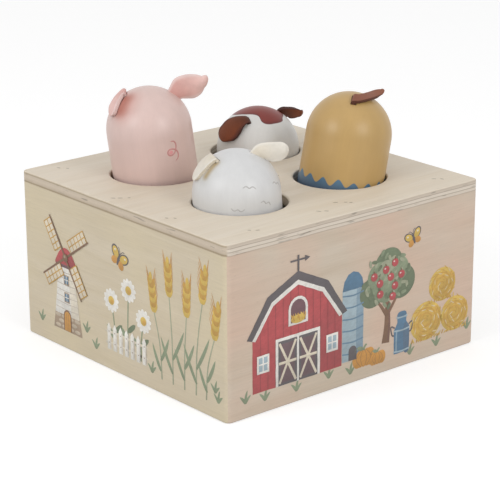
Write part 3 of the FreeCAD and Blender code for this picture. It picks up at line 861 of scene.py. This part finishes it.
def appleTree(brush, fruit="red"):
    for path, width, endWidth in (([(-0.6, 0), (0.4, 9), (0, 22)], 4.6, 2.4),
                                  ([(0.2, 12), (-4, 18), (-8, 22)], 1.9, 0.9),
                                  ([(0.4, 13), (5, 19), (8, 23)], 1.9, 0.9)):
        brush.line(path, width, "brown", endWidth)
    brush.line([(0.9, 1), (1.5, 10), (1, 19)], 0.8, ("plum", 0.5, "brown"), 0.4)
    for x, y, r, ink in ((-8.5, 25, 7.6, "deepGreen"), (8.5, 26, 8, "deepGreen"), (0.5, 35, 8.4, "deepGreen"),
                         (0, 27, 9, "leafGreen"), (-5, 31.5, 6.6, "leafGreen"), (6, 32, 6.4, "leafGreen"),
                         (-1, 33, 5, "sage")):
        brush.blob(x, y, r, r * 0.92, ink, 20, 9)
    for k, a, p, q in strewn(64, 13.5, 0.86, 1):
        brush.dab(p, 29 + q, brush.dice.uniform(0, 360), 3.4, 1.6, ("deepGreen", "leafGreen", "sage")[k % 3])
    for k, a, p, q in strewn(9, 10.6, 0.8, 0.6, 0.8):
        brush.blob(p, 28 + q, 1.9, 1.8, fruit)
        brush.blob(p - 0.6, 28.6 + q, 0.5, 0.4, ("white", 0.7, fruit))
        brush.dab(p, 29.5 + q, brush.dice.uniform(-25, 25), 1.4, 0.5, "brown", "bladeLeft")


def hayBale(brush):
    brush.blob(0, 9.4, 10, 9.4, "yellow", count=14)
    brush.blob(0.8, 8.6, 8.4, 7.6, ("straw", 0.4, "yellow"))
    spiral = [(r * math.cos(t), 9.4 + 0.94 * r * math.sin(t))
              for t, r in [(0.7 * k, 0.8 + 0.3 * k) for k in range(29)]]
    brush.line(spiral, 0.5, "straw", 0.8, 110)
    for k, a, p, q in strewn(46, 9.6, 0.92):
        brush.dab(p, 9.4 + q, a + brush.dice.uniform(-30, 30), 3, 0.6,
                  (("straw", "cream", "ochre")[k % 3], 0.6, "yellow"), ("bladeLeft", "bladeRight")[k % 2])
    for k in range(12):
        brush.dab(-9 + 1.6 * k, 0.2, brush.dice.uniform(-50, 50), 2.6, 0.7, ("straw", "yellow")[k % 2],
                  "bladeRight")


def milkChurn(brush, ink="blue"):
    brush.shape([(-5, 0), (5, 0), (5.2, 12), (2.9, 15.6), (3.1, 18.4), (-3.1, 18.4), (-2.9, 15.6),
                 (-5.2, 12)], ink)
    brush.shape([(1.6, 0.4), (4.8, 0.4), (4.9, 11.6), (2.6, 14.8), (1.2, 12)], ("charcoal", 0.3, ink), True)
    brush.line([(-3.4, 1), (-3.5, 6), (-3.3, 11.6)], 1.1, ("paleBlue", 0.6, ink), 0.8)
    for y in (1.2, 11.8):
        brush.line([(-5.3, y), (0, y - 0.5), (5.3, y)], 0.8, "paleBlue")
    brush.line([(-3.6, 18.2), (3.6, 18.2)], 1.2, "paleBlue")
    brush.shape([(-2.8, 18.6), (2.8, 18.6), (2, 20.8), (-2, 20.8)], ink, True)
    for side in (-1, 1):
        handle = [(4.6, 13.4), (7.2, 14.4), (6.4, 10.2), (5, 9.6)]
        brush.line([(p * side, q) for p, q in handle], 0.8, "charcoal")


def pumpkin(brush):
    for x, wide in ((-4, 3.2), (4, 3.2), (-2.2, 3), (2.2, 3), (0, 2.6)):
        brush.blob(x, 4.6, wide, 4.5, "ochre")
    for x, bow in ((-3.2, -1.5), (-1.3, -0.7), (1.3, 0.7), (3.2, 1.5)):
        brush.line([(x * 0.5, 8.6), (x + bow, 4.6), (x * 0.6, 0.5)], 0.4, ("brown", 0.5, "ochre"))
    brush.line([(0, 8.4), (0.4, 10), (1.8, 11.2)], 1.5, "leafGreen", 1.0)
    brush.line([(-0.3, 9), (-3.6, 10.6), (-5.6, 9.2), (-5, 8)], 0.4, "deepGreen", 0.2)
    brush.dab(-0.4, 9, 70, 4, 2.2, "leafGreen")


def wheat(brush, height, lean):
    brush.line([(0, 0), (lean * 0.2, height * 0.5), (lean, height)], 0.9, "sage", 0.6)
    for side, kind in ((-1, "bladeRight"), (1, "bladeLeft")):
        brush.dab(lean * 0.1, height * (0.2 + 0.08 * side), -side * 34, height * 0.42, 1.9, "leafGreen", kind)
    for k in range(6):
        x, y = lean + lean * 0.06 * k, height + 1 + k * 2.2
        for side in (-1, 1):
            brush.dab(x, y - 2, -side * 26, 5.2, 2.5, ("yellow", "straw")[k % 2])
            brush.dab(x + side * 1.2, y + 1, -side * 17, 7.4, 0.4, "ochre", "bladeLeft")
    brush.dab(lean * 1.4, height + 12, 0, 5.4, 2.4, "yellow")


def daisy(brush, height, lean, petals="white"):
    brush.line([(0, 0), (lean * 0.2, height * 0.5), (lean, height)], 0.8, "leafGreen", 0.6)
    brush.dab(lean * 0.1, height * 0.22, 46, 7, 2.4, "leafGreen")
    brush.dab(lean * 0.12, height * 0.36, -50, 6.4, 2.2, "deepGreen")
    for k in range(12):
        brush.dab(lean, height, 30 * k + 7, 4.9, 2.1, petals, "petal")
    brush.blob(lean, height, 1.9, 1.8, "yellow")
    brush.blob(lean + 0.5, height - 0.4, 1, 0.9, ("ochre", 0.6, "yellow"))


def tulip(brush, height, lean, ink):
    brush.line([(0, 0), (lean * 0.3, height * 0.5), (lean, height)], 0.9, "leafGreen", 0.7)
    brush.dab(0, 0.5, 22, height * 0.75, 3, "leafGreen", "bladeLeft")
    brush.dab(0, 0.5, -24, height * 0.62, 2.8, "deepGreen", "bladeRight")
    for turn, length in ((26, 7.4), (-26, 7.4), (0, 7.9)):
        brush.dab(lean, height - 0.6, turn, length, 4.2, ink)
    light = [(-2.5, 1.6), (0, -0.8), (2.5, 1.6), (1.9, 4.6), (0, 3), (-1.9, 4.6)]
    brush.shape([(lean + p, height + q) for p, q in light], ("white", 0.2, ink), True)


def butterfly(brush, turn):
    def on(p, q):
        return turned(p, q, turn)

    for side in (-1, 1):
        brush.blob(*on(side * 2.9, 1.9), 3.1, 2.2, "charcoal", turn + side * 38, 10)
        brush.blob(*on(side * 2.8, 1.8), 2.5, 1.7, "yellow", turn + side * 38, 10)
        brush.blob(*on(side * 2.2, -1.6), 2, 1.6, "ochre", turn - side * 30, 10)
        brush.blob(*on(side * 3.4, 2.5), 0.6, 0.5, ("white", 0.7, "yellow"))
        brush.line([on(0, 2.4), on(side * 1.1, 4.2), on(side * 2.2, 4.6)], 0.3, "charcoal")
    brush.blob(0, 0, 0.7, 2.8, "charcoal", turn)


def picketFence(brush, count):
    for y in (3.4, 9):
        brush.line([(-1.4, y), (count * 2.3, y + 0.2), (count * 4.6 - 0.4, y)], 1.3, "cream")
    for x in [k * 4.6 for k in range(count)]:
        brush.shape([(x, 0), (x + 2.9, 0), (x + 2.9, 11.2), (x + 1.45, 13.6), (x, 11.2)], "white")
        brush.line([(x + 2.3, 0.4), (x + 2.3, 10.8)], 0.6, ("taupe", 0.35, "white"))
        for y in (3.5, 9.1):
            brush.blob(x + 1.4, y, 0.35, 0.35, "taupe", count=6)


def wateringCan(brush):
    brush.line([(8, 5), (15, 11), (20, 19)], 3, "blue", 1.8)
    brush.shape([(18, 20.4), (21.6, 17.2), (24.4, 20.6), (20.4, 24)], "blue", True)
    brush.blob(22.4, 22.4, 2.9, 1.0, "paleBlue", -42)
    brush.line([(-8, 12), (-14, 15), (-14.4, 6), (-8.4, 3)], 1.5, "charcoal")
    brush.shape([(-9, 0), (9, 0), (7.6, 15), (-7.6, 15)], "blue")
    brush.shape([(3.4, 0.5), (8.6, 0.5), (7.2, 14.6), (3.6, 14.6)], ("charcoal", 0.3, "blue"))
    brush.line([(-5.6, 2), (-4.8, 13)], 1.3, ("paleBlue", 0.6, "blue"), 0.9)
    for y in (1.4, 13.8):
        brush.line([(-8.8 + 0.1 * y, y), (0, y - 0.6), (8.8 - 0.1 * y, y)], 0.9, "paleBlue")
    brush.line([(-6.4, 15), (-5, 22), (3, 22.4), (6.6, 15)], 1.3, "charcoal")
    for p, q in ((26.4, 19.4), (28.4, 16), (25.6, 14.6), (29.6, 11.6), (27, 10)):
        brush.dab(p, q, 200, 2.2, 1.3, ("blue", 0.8))


def cloud(brush):
    for x, y, wide, high in ((-7, 0, 6, 3), (7, 0, 6.4, 3.2), (0, 1.6, 7.4, 4.4), (0, -0.6, 12, 2.6)):
        brush.blob(x, y, wide, high, ("white", 0.8), soft=True)


def tuft(brush):
    for turn, length, kind in ((24, 4.4, "bladeLeft"), (2, 5.4, "bladeRight"), (-24, 4, "bladeRight")):
        brush.dab(0, 0, turn, length, 1.3, "leafGreen", kind)


walls = {   # motifs with their place, size and own settings, and then tufts of grass
    "left_board": {
        "outward": (-1, 0, 0), "seed": 11,
        "motifs": [(windmill, 33, 9, 0.98), (butterfly, 74, 55, 1.15, -24), (picketFence, 64, 10, 0.95, 7),
                   (daisy, 70, 11, 1.15, 20, -2), (daisy, 79.5, 11, 1.15, 27, 1),
                   (daisy, 89, 11, 1.15, 17, 2), (wheat, 104, 7, 1, 31, -5), (wheat, 112, 7, 1, 41, -2),
                   (wheat, 120, 7, 1, 35, 2), (wheat, 128, 7, 1, 44, 5), (wheat, 135, 7, 1, 30, 6)],
        "tufts": [(12, 9), (55, 7), (97, 8), (141, 12), (48, 13), (143, 8)]},
    "front_board": {
        "outward": (0, -1, 0), "seed": 12,
        "motifs": [(silo, 64.8, 11, 0.98), (barn, 13, 10, 1.12), (appleTree, 92, 14, 1.05),
                   (hayBale, 117, 9, 1), (hayBale, 135.5, 9.5, 0.9), (hayBale, 127, 26, 0.86),
                   (milkChurn, 101.5, 7, 0.95), (pumpkin, 78, 6, 0.95), (pumpkin, 86.5, 5, 0.7),
                   (butterfly, 108, 60, 0.95, 18)],
        "tufts": [(9, 7), (20, 5.5), (38, 5), (57, 6), (70, 4.5), (107, 4.5), (124, 4.5), (144, 8)]},
    "back_board": {
        "outward": (0, 1, 0), "seed": 13,
        "motifs": [(appleTree, 26, 11, 1.3, "ochre"), (wateringCan, 60, 9, 1.05),
                   (tulip, 86, 8, 1.15, 20, -1, "red"), (tulip, 94, 8, 1.15, 25, 1, "yellow"),
                   (tulip, 102, 8, 1.15, 19, 1, "red"), (pumpkin, 117, 8, 1.25), (pumpkin, 132, 8, 0.95),
                   (cloud, 110, 57, 1.1), (butterfly, 66, 55, 1, 12)],
        "tufts": [(10, 8), (42, 7), (78, 8), (124, 5), (143, 9)]},
    "right_board": {
        "outward": (1, 0, 0), "seed": 14,
        "motifs": [(wheat, 14, 8, 1, 30, -3), (wheat, 22, 8, 1, 39, 0), (wheat, 30, 8, 1, 33, 3),
                   (milkChurn, 48, 8, 1.35, "red"), (milkChurn, 64, 8, 1.1), (picketFence, 78, 10, 1, 8),
                   (daisy, 84, 11, 1.15, 18, -1, "pink"), (daisy, 95, 11, 1.15, 26, 1),
                   (daisy, 106, 11, 1.15, 19, 2, "pink"), (hayBale, 131, 8, 1.05), (cloud, 60, 58, 1.1),
                   (butterfly, 124, 52, 1, -16)],
        "tufts": [(8, 8), (39, 7), (74, 6), (117, 6), (144, 7)]},
}
dabKinds = {     # half the width from root to tip, and how far the tip bends sideways
    "bladeLeft": ([(0, 0.55), (0.35, 1.0), (1, 0.05)], -0.9),
    "bladeRight": ([(0, 0.55), (0.35, 1.0), (1, 0.05)], 0.9),
    "leaf": ([(0, 0.08), (0.42, 1.0), (1, 0.06)], 0.0),
    "petal": ([(0, 0.35), (0.68, 1.0), (0.92, 0.72), (1, 0.3)], 0.0),
}


def newTree(name, **sockets):
    # a tree with its named inputs, and the node that gives them
    tree = bpy.data.node_groups.new(name, "GeometryNodeTree")
    for key, kind in sockets.items():
        tree.interface.new_socket(key, in_out="INPUT", socket_type="NodeSocket" + kind)
    tree.interface.new_socket("Made", in_out="OUTPUT", socket_type="NodeSocketGeometry")
    return tree, addNode(tree, "NodeGroupInput").outputs


def closeTree(tree, made, paint):
    real = addNode(tree, "GeometryNodeRealizeInstances", made)
    addNode(tree, "NodeGroupOutput", addNode(tree, "GeometryNodeSetMaterial", Geometry=real, Material=paint))
    return tree


def grown(name, mesh, tree, **settings):
    # runs a tree on a mesh and gives back the plain mesh that it makes
    holder = placed(name, mesh)
    modifier = holder.modifiers.new("tree", "NODES")
    modifier.node_group = tree
    for item in tree.interface.items_tree:
        if item.name in settings:
            modifier[item.identifier] = settings[item.name]
    made = bpy.data.meshes.new_from_object(holder.evaluated_get(bpy.context.evaluated_depsgraph_get()))
    bpy.data.objects.remove(holder)
    made.name = name
    return made


def brushDabs():
    # one flat tapered dab of each kind, laid on every point that asks for it
    tree, given = newTree("brushDabs", Points="Geometry", Steps="Int", Bend="Float", Ink="Material")
    joined = addNode(tree, "GeometryNodeJoinGeometry")
    kind, turn, wide, long = [addNode(tree, "GeometryNodeInputNamedAttribute", data_type="FLOAT", Name=key)
                              for key in ("kind", "turn", "wide", "long")]
    rotation = addNode(tree, "FunctionNodeEulerToRotation", addNode(tree, "CombineXYZ", 0, 0, turn))
    scale = addNode(tree, "CombineXYZ", wide, long, 1.0)
    grid = addNode(tree, "GeometryNodeMeshGrid", 1.0, 1.0, 3, given["Steps"])
    parts = addNode(tree, "SeparateXYZ", addNode(tree, "GeometryNodeInputPosition"))
    along = addNode(tree, "Math", parts.outputs["Y"], 0.5, operation="ADD")
    marked = addNode(tree, "GeometryNodeStoreNamedAttribute", grid, Name="rise", Value=along)
    square = addNode(tree, "Math", along, 2.0, operation="POWER")
    sway = addNode(tree, "Math", square, given["Bend"], operation="MULTIPLY")
    for number, (profile, bend) in enumerate(dabKinds.values()):
        taper = curveThrough(addNode(tree, "FloatCurve", Value=along), profile)
        width = addNode(tree, "Math", parts.outputs["X"], taper, operation="MULTIPLY")
        sideways = addNode(tree, "Math", sway, bend, width, operation="MULTIPLY_ADD")
        bent = addNode(tree, "CombineXYZ", sideways, along)
        dab = addNode(tree, "GeometryNodeSetPosition", marked, Position=bent)
        chosen = addNode(tree, "Math", kind, number, 0.4, operation="COMPARE")
        laid = addNode(tree, "GeometryNodeInstanceOnPoints", given["Points"], chosen, dab, Rotation=rotation,
                       Scale=scale)
        fill(tree, joined, {0: laid})
    return closeTree(tree, joined, given["Ink"])


dabTree = brushDabs()


def dabMesh(name, dabs, material):
    points = bpy.data.meshes.new(name + "Points")
    points.from_pydata([(dab["at"][0] * mm, dab["at"][1] * mm,
                         (printing["lift"] + printing["layer"] * dab["layer"]) * mm) for dab in dabs], [], [])
    kinds = list(dabKinds)
    columns = {
        "kind": [kinds.index(dab["kind"]) for dab in dabs],
        "turn": [math.radians(dab["turn"]) for dab in dabs],
        "wide": [dab["wide"] * mm for dab in dabs], "long": [dab["long"] * mm for dab in dabs],
        "cover": [dab["cover"] for dab in dabs],
    }
    for key, values in columns.items():
        points.attributes.new(key, "FLOAT", "POINT").data.foreach_set("value", values)
    colours = [part for dab in dabs for part in dab["ink"]]
    points.attributes.new("ink", "FLOAT_COLOR", "POINT").data.foreach_set("color", colours)
    return grown(name, points, dabTree, Steps=printing["dabSteps"], Bend=printing["dabBend"], Ink=material)


def shapeMesh(name, shapes, material):
    form = bmesh.new()
    inkLayer = form.verts.layers.float_color.new("ink")
    coverLayer, rimLayer, riseLayer = [form.verts.layers.float.new(key) for key in ("cover", "rim", "rise")]
    for shape in shapes:
        outline = shape["outline"]
        pairs = list(zip(outline, outline[1:] + outline[:1]))
        area = sum(a.x * b.y - b.x * a.y for a, b in pairs) / 2
        if area < 0:
            outline = outline[::-1]
        lift = (printing["lift"] + printing["layer"] * shape["layer"]) * mm
        face = form.faces.new([form.verts.new((p.x * mm, p.y * mm, lift)) for p in outline])
        edge = list(face.verts)
        soft = shape["soft"]
        widest, part = printing["softRim" if soft else "rim"]
        inset = min(widest, part * abs(area) / sum((b - a).length for a, b in pairs))
        bmesh.ops.inset_individual(form, faces=[face], thickness=inset * mm, use_even_offset=False)
        low, high = [end(p.y for p in outline) * mm for end in (min, max)]
        for verts, isEdge in ((edge, 1.0), (face.verts, 0.0)):
            for vert in verts:
                vert[inkLayer] = shape["ink"]
                vert[coverLayer] = shape["cover"] * (1 - isEdge if soft else 1)
                vert[rimLayer] = 0.0 if soft else isEdge
                vert[riseLayer] = (vert.co.y - low) / (high - low)
    bmesh.ops.triangulate(form, faces=[face for face in form.faces if len(face.verts) > 4])
    return finished(name, form, [material])


def printWall(node, wall):
    low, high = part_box(node)
    out = Vector(wall["outward"])
    up = Vector((0, 0, 1))
    right = up.cross(out)
    half = (high - low) / 2
    corner = (low + high) / 2 + out * abs(half.dot(out)) - right * abs(half.dot(right)) - up * half.z
    toWall = Matrix.Translation(corner) @ Matrix((right, up, out)).transposed().to_4x4()
    sheet = {"shapes": [], "dabs": [], "dice": random.Random(wall["seed"])}
    for motif, x, y, size, *own in wall["motifs"]:
        motif(Brush(sheet, x, y, size), *own)
    for x, y in wall["tufts"]:
        tuft(Brush(sheet, x, y, printing["tuftSize"]))
    material = birchPlyFace("watercolourInkOnBirch_" + node, *wallTones[node], printed=True)
    name = node.split("_")[0] + "Wall"
    for mesh in (shapeMesh(name + "Picture", sheet["shapes"], material),
                 dabMesh(name + "Dabs", sheet["dabs"], material)):
        mesh.transform(toWall)
        newPiece(mesh.name, mesh, "box")


for node, wall in walls.items():
    printWall(node, wall)
print("pictures printed")


topSeeds = {
    "clusters": [(-58, 64, 2), (-66, 8, 3), (-52, -66, 2), (-2, 58, 2), (3, 6, 3), (8, -10, 2), (64, 62, 3),
                 (66, 14, 2), (62, -8, 2), (4, -62, 3), (-12, -66, 2), (61, -64, 2), (-68, -30, 2),
                 (-5, 28, 2), (34, -3, 2)],
    "length": 2.1, "width": 0.95, "spacing": 3.3, "cover": 0.75, "row": (0.77, -0.64), "astray": (0.5, 0.9),
    "turns": (30, 70), "turnAstray": 25, "sizes": (0.7, 1.2), "seed": 7,
}


def printSeeds():
    # small grey seeds strewn in twos and threes over the top board
    dice = random.Random(topSeeds["seed"])
    dabs = []
    for x, y, count in topSeeds["clusters"]:
        turn = dice.uniform(*topSeeds["turns"])
        for k in range(count):
            away = topSeeds["spacing"] * (k - (count - 1) / 2)
            at = [middle + way * away + dice.uniform(-far, far)
                  for middle, way, far in zip((x, y), topSeeds["row"], topSeeds["astray"])]
            astray = topSeeds["turnAstray"]
            dabs.append({
                "at": at, "turn": turn + dice.uniform(-astray, astray),
                "long": topSeeds["length"] * dice.uniform(*topSeeds["sizes"]),
                "wide": topSeeds["width"], "ink": linear(inks["seed"]), "kind": "leaf",
                "cover": topSeeds["cover"], "layer": k})
    pale, deep = topPly["pale"], topPly["deep"]
    material = birchPlyFace("watercolourInkOnBirch_top", 0, pale, deep, pale, printed=True)
    mesh = dabMesh("topSeeds", dabs, material)
    mesh.transform(Matrix.Translation((0, 0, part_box("top_board")[1].z)))
    newPiece("topSeeds", mesh, "box")


printSeeds()
print("seeds printed")


# small painted marks on the pegs: tail, curls of wool, and quiet faces on the far side

def both(x, y, wide, high, turn=0, count=12):
    # the same spot to the left and to the right
    return [oval(-x, y, wide, high, -turn, count), oval(x, y, wide, high, turn, count)]


marks = {
    # where each mark starts: azimuth, and mm up the skin from where the crown meets the straight side; then
    # lines as points in mm, and spots as outlines in mm, over the earlier ones where a rise is given
    "pigTail": {"at": (260, -6.4), "colour": "#c48b88", "width": 0.75, "lines": [
        [(0.1, 5.2), (2, 4.8), (2.9, 3), (2.4, 0.6), (1.1, -1.1), (-0.7, -1.4), (-1.7, -0.2), (-1.2, 1.2),
         (0.5, 1.5), (2.4, 0.6), (3.5, -1.3), (3, -3.6), (0.8, -5)]]},
    "pigTailHeart": {"at": (260, -6.4), "colour": "#dd9a9b", "spots": [oval(-0.1, 0, 1.1, 1.0)]},
    "pigSnout": {"at": (77, 2), "colour": "#d1968e", "spots": [oval(0, 0, 5.2, 3.9, 0, 20)]},
    "pigFeatures": {"at": (77, 2), "colour": "#6b4644", "rise": 0.07, "width": 0.6,
                    "lines": [[(-2.6, -6), (-0.9, -6.8), (0.9, -6.8), (2.6, -6)]],
                    "spots": both(1.6, 0, 0.7, 1.0) + both(6.4, 5.4, 1.1, 1.4)},
    "cowMuzzle": {"at": (84, 5), "colour": "#dcb5a8", "spots": [oval(0, 0, 6.4, 3.7, 0, 20)]},
    "cowFeatures": {"at": (84, 5), "colour": "#4a3431", "rise": 0.07,
                    "spots": both(2.6, 0.6, 0.8, 1.1) + both(5.4, 7, 1.1, 1.4)},
    "sheepFace": {"at": (70, 8), "colour": "#c9ab87", "spots": [oval(0, 0, 6, 7.4, 0, 24)]},
    "sheepFeatures": {"at": (70, 8), "colour": "#584338", "rise": 0.07, "width": 0.6,
                      "lines": [[(-1.5, -2.6), (-0.7, -3.5), (0, -4), (0.7, -3.5), (1.5, -2.6)],
                                [(0, -4), (0, -5), (0, -5.8)]],
                      "spots": both(3.2, 2, 0.9, 1.2)},
    "henBeak": {"at": (77, 4), "colour": "#d99a4a", "spots": [
        [(-2.9, 0.2), (-1.4, 1.7), (0, 2.6), (1.4, 1.7), (2.9, 0.2), (1.5, -1.9), (0, -3.6), (-1.5, -1.9)]]},
    "henWattle": {"at": (77, -2.6), "colour": "#a9463c", "spots": both(1.4, 0, 1.4, 2.4, 10, 14)},
    "henEyes": {"at": (77, 4), "colour": "#453631", "spots": both(5.6, 4.2, 1.0, 1.3)},
}
woolCurls = {
    # azimuth, mm up the skin, turn in degrees, and whether the curl bows up or down
    "places": [(250, 8.2, -14, 1), (270.7, -0.2, -26, 1), (231.6, -0.9, -9, -1), (299, 5.6, -27, 1),
               (333, 1, 10, -1), (350, 9, -22, 1), (8, -1, 14, -1), (30, 7, -18, 1), (36, 16, 12, 1),
               (104, 15, 8, 1), (112, 3, 24, 1), (134, -1, -10, -1)],
    "path": [(-3, -0.5), (-1.7, 0.5), (-0.4, -0.1), (0.1, -0.2), (1.4, 0.6), (3, -0.5)],
    "width": 0.55, "colour": "#b6b5b3",
}
paintwork = {
    "proud": 0.13, "step": 0.4, "sides": 16,      # height of a painted line and length of its steps, mm
    "pressure": [(0, 0.7), (0.12, 1), (0.8, 1), (1, 0.7)],
    "spotLift": 0.06, "spotSunk": -0.1, "spotRings": (1.0, 0.94, 0.7, 0.4),
}


def skinPoint(peg, start, x, y, lift):
    # mm to the right and up over the painted skin, which is a half ball on a straight side
    azimuth, height = start
    radius = peg["radius"] / mm
    up = height + y
    turn = azimuth + math.degrees(x / (radius * math.cos(max(height, 0) / radius)))
    place = onCrown(peg, turn, math.degrees(max(up, 0) / radius), radius + lift)
    return place + peg["turn"] @ Vector((0, 0, min(up, 0) * mm))


def brushLine():
    # a raised line of paint along a path, thinner where the brush is set down and lifted
    tree, given = newTree("brushLine", Path="Geometry", Radius="Float", Sides="Int", Paint="Material")
    line = addNode(tree, "GeometryNodeMeshToCurve", given["Path"])
    pressure = addNode(tree, "FloatCurve", Value=addNode(tree, "GeometryNodeSplineParameter"))
    curveThrough(pressure, paintwork["pressure"])
    thick = addNode(tree, "Math", pressure, given["Radius"], operation="MULTIPLY")
    ring = addNode(tree, "GeometryNodeCurvePrimitiveCircle", Resolution=given["Sides"], Radius=1.0)
    return closeTree(tree, addNode(tree, "GeometryNodeCurveToMesh", line, ring, thick, True), given["Paint"])


lineTree = brushLine()


def lineMesh(name, peg, lines, mark, material):
    # each line is the top of a round bead whose middle lies under the skin
    proud = paintwork["proud"] + mark.get("rise", 0)
    radius = (mark["width"] ** 2 / 4 + proud * proud) / (2 * proud)
    verts, edges = [], []
    for start, path in lines:
        points = [Vector(p) for p in path]
        length = sum((b - a).length for a, b in zip(points, points[1:]))
        steps = max(4, round(length / paintwork["step"]))
        edges += [(len(verts) + k, len(verts) + k + 1) for k in range(steps)]
        for k in range(steps + 1):
            verts.append(skinPoint(peg, start, *throughPoints(points, k / steps), proud - radius))
    mesh = bpy.data.meshes.new(name + "Path")
    mesh.from_pydata(verts, edges, [])
    return grown(name, mesh, lineTree, Radius=radius * mm, Sides=paintwork["sides"], Paint=material)


def addSpot(form, peg, start, outline, rise):
    # a thin drop of paint whose rim sinks into the skin
    count = len(outline)
    middle = Vector([sum(parts) / count for parts in zip(*outline)])
    top = paintwork["spotLift"] + rise
    rings = []
    for size in paintwork["spotRings"]:
        places = [middle.lerp(Vector(p), size) for p in outline]
        lift = top if rings else paintwork["spotSunk"]
        rings.append([form.verts.new(skinPoint(peg, start, p.x, p.y, lift)) for p in places])
    centre = form.verts.new(skinPoint(peg, start, middle.x, middle.y, top))
    for j in range(count):
        k = (j + 1) % count
        for outer, inner in zip(rings, rings[1:]):
            form.faces.new((outer[j], outer[k], inner[k], inner[j]))
        form.faces.new((rings[-1][j], rings[-1][k], centre))


def paintMark(name, mark):
    animal = next(animal for animal in pegs if name.startswith(animal))
    peg = pegs[animal]
    material = satinLacquer("satinPaintBrushed_" + name, peg, airbrushed, {"ground": mark["colour"]})
    form = bmesh.new()
    for spot in mark.get("spots", []):
        addSpot(form, peg, mark["at"], spot, mark.get("rise", 0))
    lines = mark.get("placed") or [(mark["at"], path) for path in mark.get("lines", [])]
    if lines:
        form.from_mesh(lineMesh(name + "Lines", peg, lines, mark, material))
    newPiece(name, finished(name, form, [material], True), animal)


marks["sheepCurls"] = {
    "colour": woolCurls["colour"], "width": woolCurls["width"],
    "placed": [((azimuth, height), [turned(x, y * bow, turn) for x, y in woolCurls["path"]])
               for azimuth, height, turn, bow in woolCurls["places"]]}
for name, mark in marks.items():
    paintMark(name, mark)
print("peg marks painted")


# camera, lights and floor

cameraSet = {"azimuth": 229.85, "elevation": 18.43, "roll": -0.25, "distance": 928, "lens": 142.9,
             "aim": (0.24, -0.96, 43.25), "nearest": 0.05, "farthest": 20, "sensor": 36}


def placeCamera():
    data = bpy.data.cameras.new("camera")
    data.lens = cameraSet["lens"]
    data.sensor_width = cameraSet["sensor"]
    data.clip_start = cameraSet["nearest"]
    data.clip_end = cameraSet["farthest"]
    back = direction(cameraSet["azimuth"], cameraSet["elevation"])
    level = Vector((0, 0, 1)).cross(back).normalized()
    roll = math.radians(cameraSet["roll"])
    right = level * math.cos(roll) + back.cross(level) * math.sin(roll)
    place = Vector(cameraSet["aim"]) * mm + back * cameraSet["distance"] * mm
    camera = placed("camera", data)
    camera.matrix_world = (Matrix.Translation(place)
                           @ Matrix((right, back.cross(right), back)).transposed().to_4x4())
    bpy.context.scene.camera = camera


lampAim = Vector((0, 0, 0.05))      # a point a little over the floor, m
lamps = {   # degrees, metres and watts
    "leftSoftbox": {"azimuth": 178, "elevation": 30, "distance": 1.1, "size": 0.45, "power": 3.4},
    "rightSoftbox": {"azimuth": 270, "elevation": 27, "distance": 1.1, "size": 0.45, "power": 3.22},
    "overhead": {"azimuth": 228, "elevation": 80, "distance": 1.3, "size": 1.2, "power": 1.47},
}


def placeLamps():
    for name, lamp in lamps.items():
        data = bpy.data.lights.new(name, "AREA")
        data.size = lamp["size"]
        data.energy = lamp["power"]
        way = direction(lamp["azimuth"], lamp["elevation"])
        light = placed(name, data)
        light.location = way * lamp["distance"] + lampAim
        light.rotation_euler = way.to_track_quat("Z", "Y").to_euler()


room = {"skyStrength": 0.645, "sky": "#ffffff", "floor": "#c4c4c4", "floorGlow": 0.52, "tooth": 1.5,     # mm
        "roughness": 0.95, "bumps": (0.05, 0.1), "floorSize": 60, "floorGap": 0.1 * mm}      # m


def shownRay(tree):
    # 1 where the camera, or a mirror or glass before it, looks
    path = addNode(tree, "LightPath").outputs
    first = addNode(tree, "Math", path["Is Camera Ray"], path["Is Glossy Ray"], operation="MAXIMUM")
    return addNode(tree, "Math", first, path["Is Transmission Ray"], operation="MAXIMUM")


def makeRoom():
    world = bpy.data.worlds.new("studio")
    world.use_nodes = True
    bpy.context.scene.world = world
    tree = world.node_tree
    strength = addNode(tree, "MapRange", shownRay(tree), 0, 1, room["skyStrength"], 1.0)
    fill(tree, tree.nodes["Background"], {"Color": room["sky"], "Strength": strength})

    # matt paper, which shows the shadow and a fine tooth
    material, tree, shader, place = newMaterial("paperSweepMatt")
    tooth = addNode(tree, "TexNoise", Vector=place, Scale=1 / (room["tooth"] * mm))
    glow = addNode(tree, "Math", shownRay(tree), room["floorGlow"], operation="MULTIPLY")
    surfaced(tree, shader, room["floor"], room["roughness"], tooth, room["bumps"], {
        "Emission Color": "#ffffff", "Emission Strength": glow})
    half = room["floorSize"] / 2
    mesh = bpy.data.meshes.new("floor")
    mesh.from_pydata([(x, y, -room["floorGap"]) for x, y in rect(-half, -half, 2 * half, 2 * half)], [],
                     [(0, 1, 2, 3)])
    mesh.materials.append(material)
    placed("floor", mesh)


placeCamera()
placeLamps()
makeRoom()
bpy.context.scene.view_settings.view_transform = "Standard"
print("studio ready")
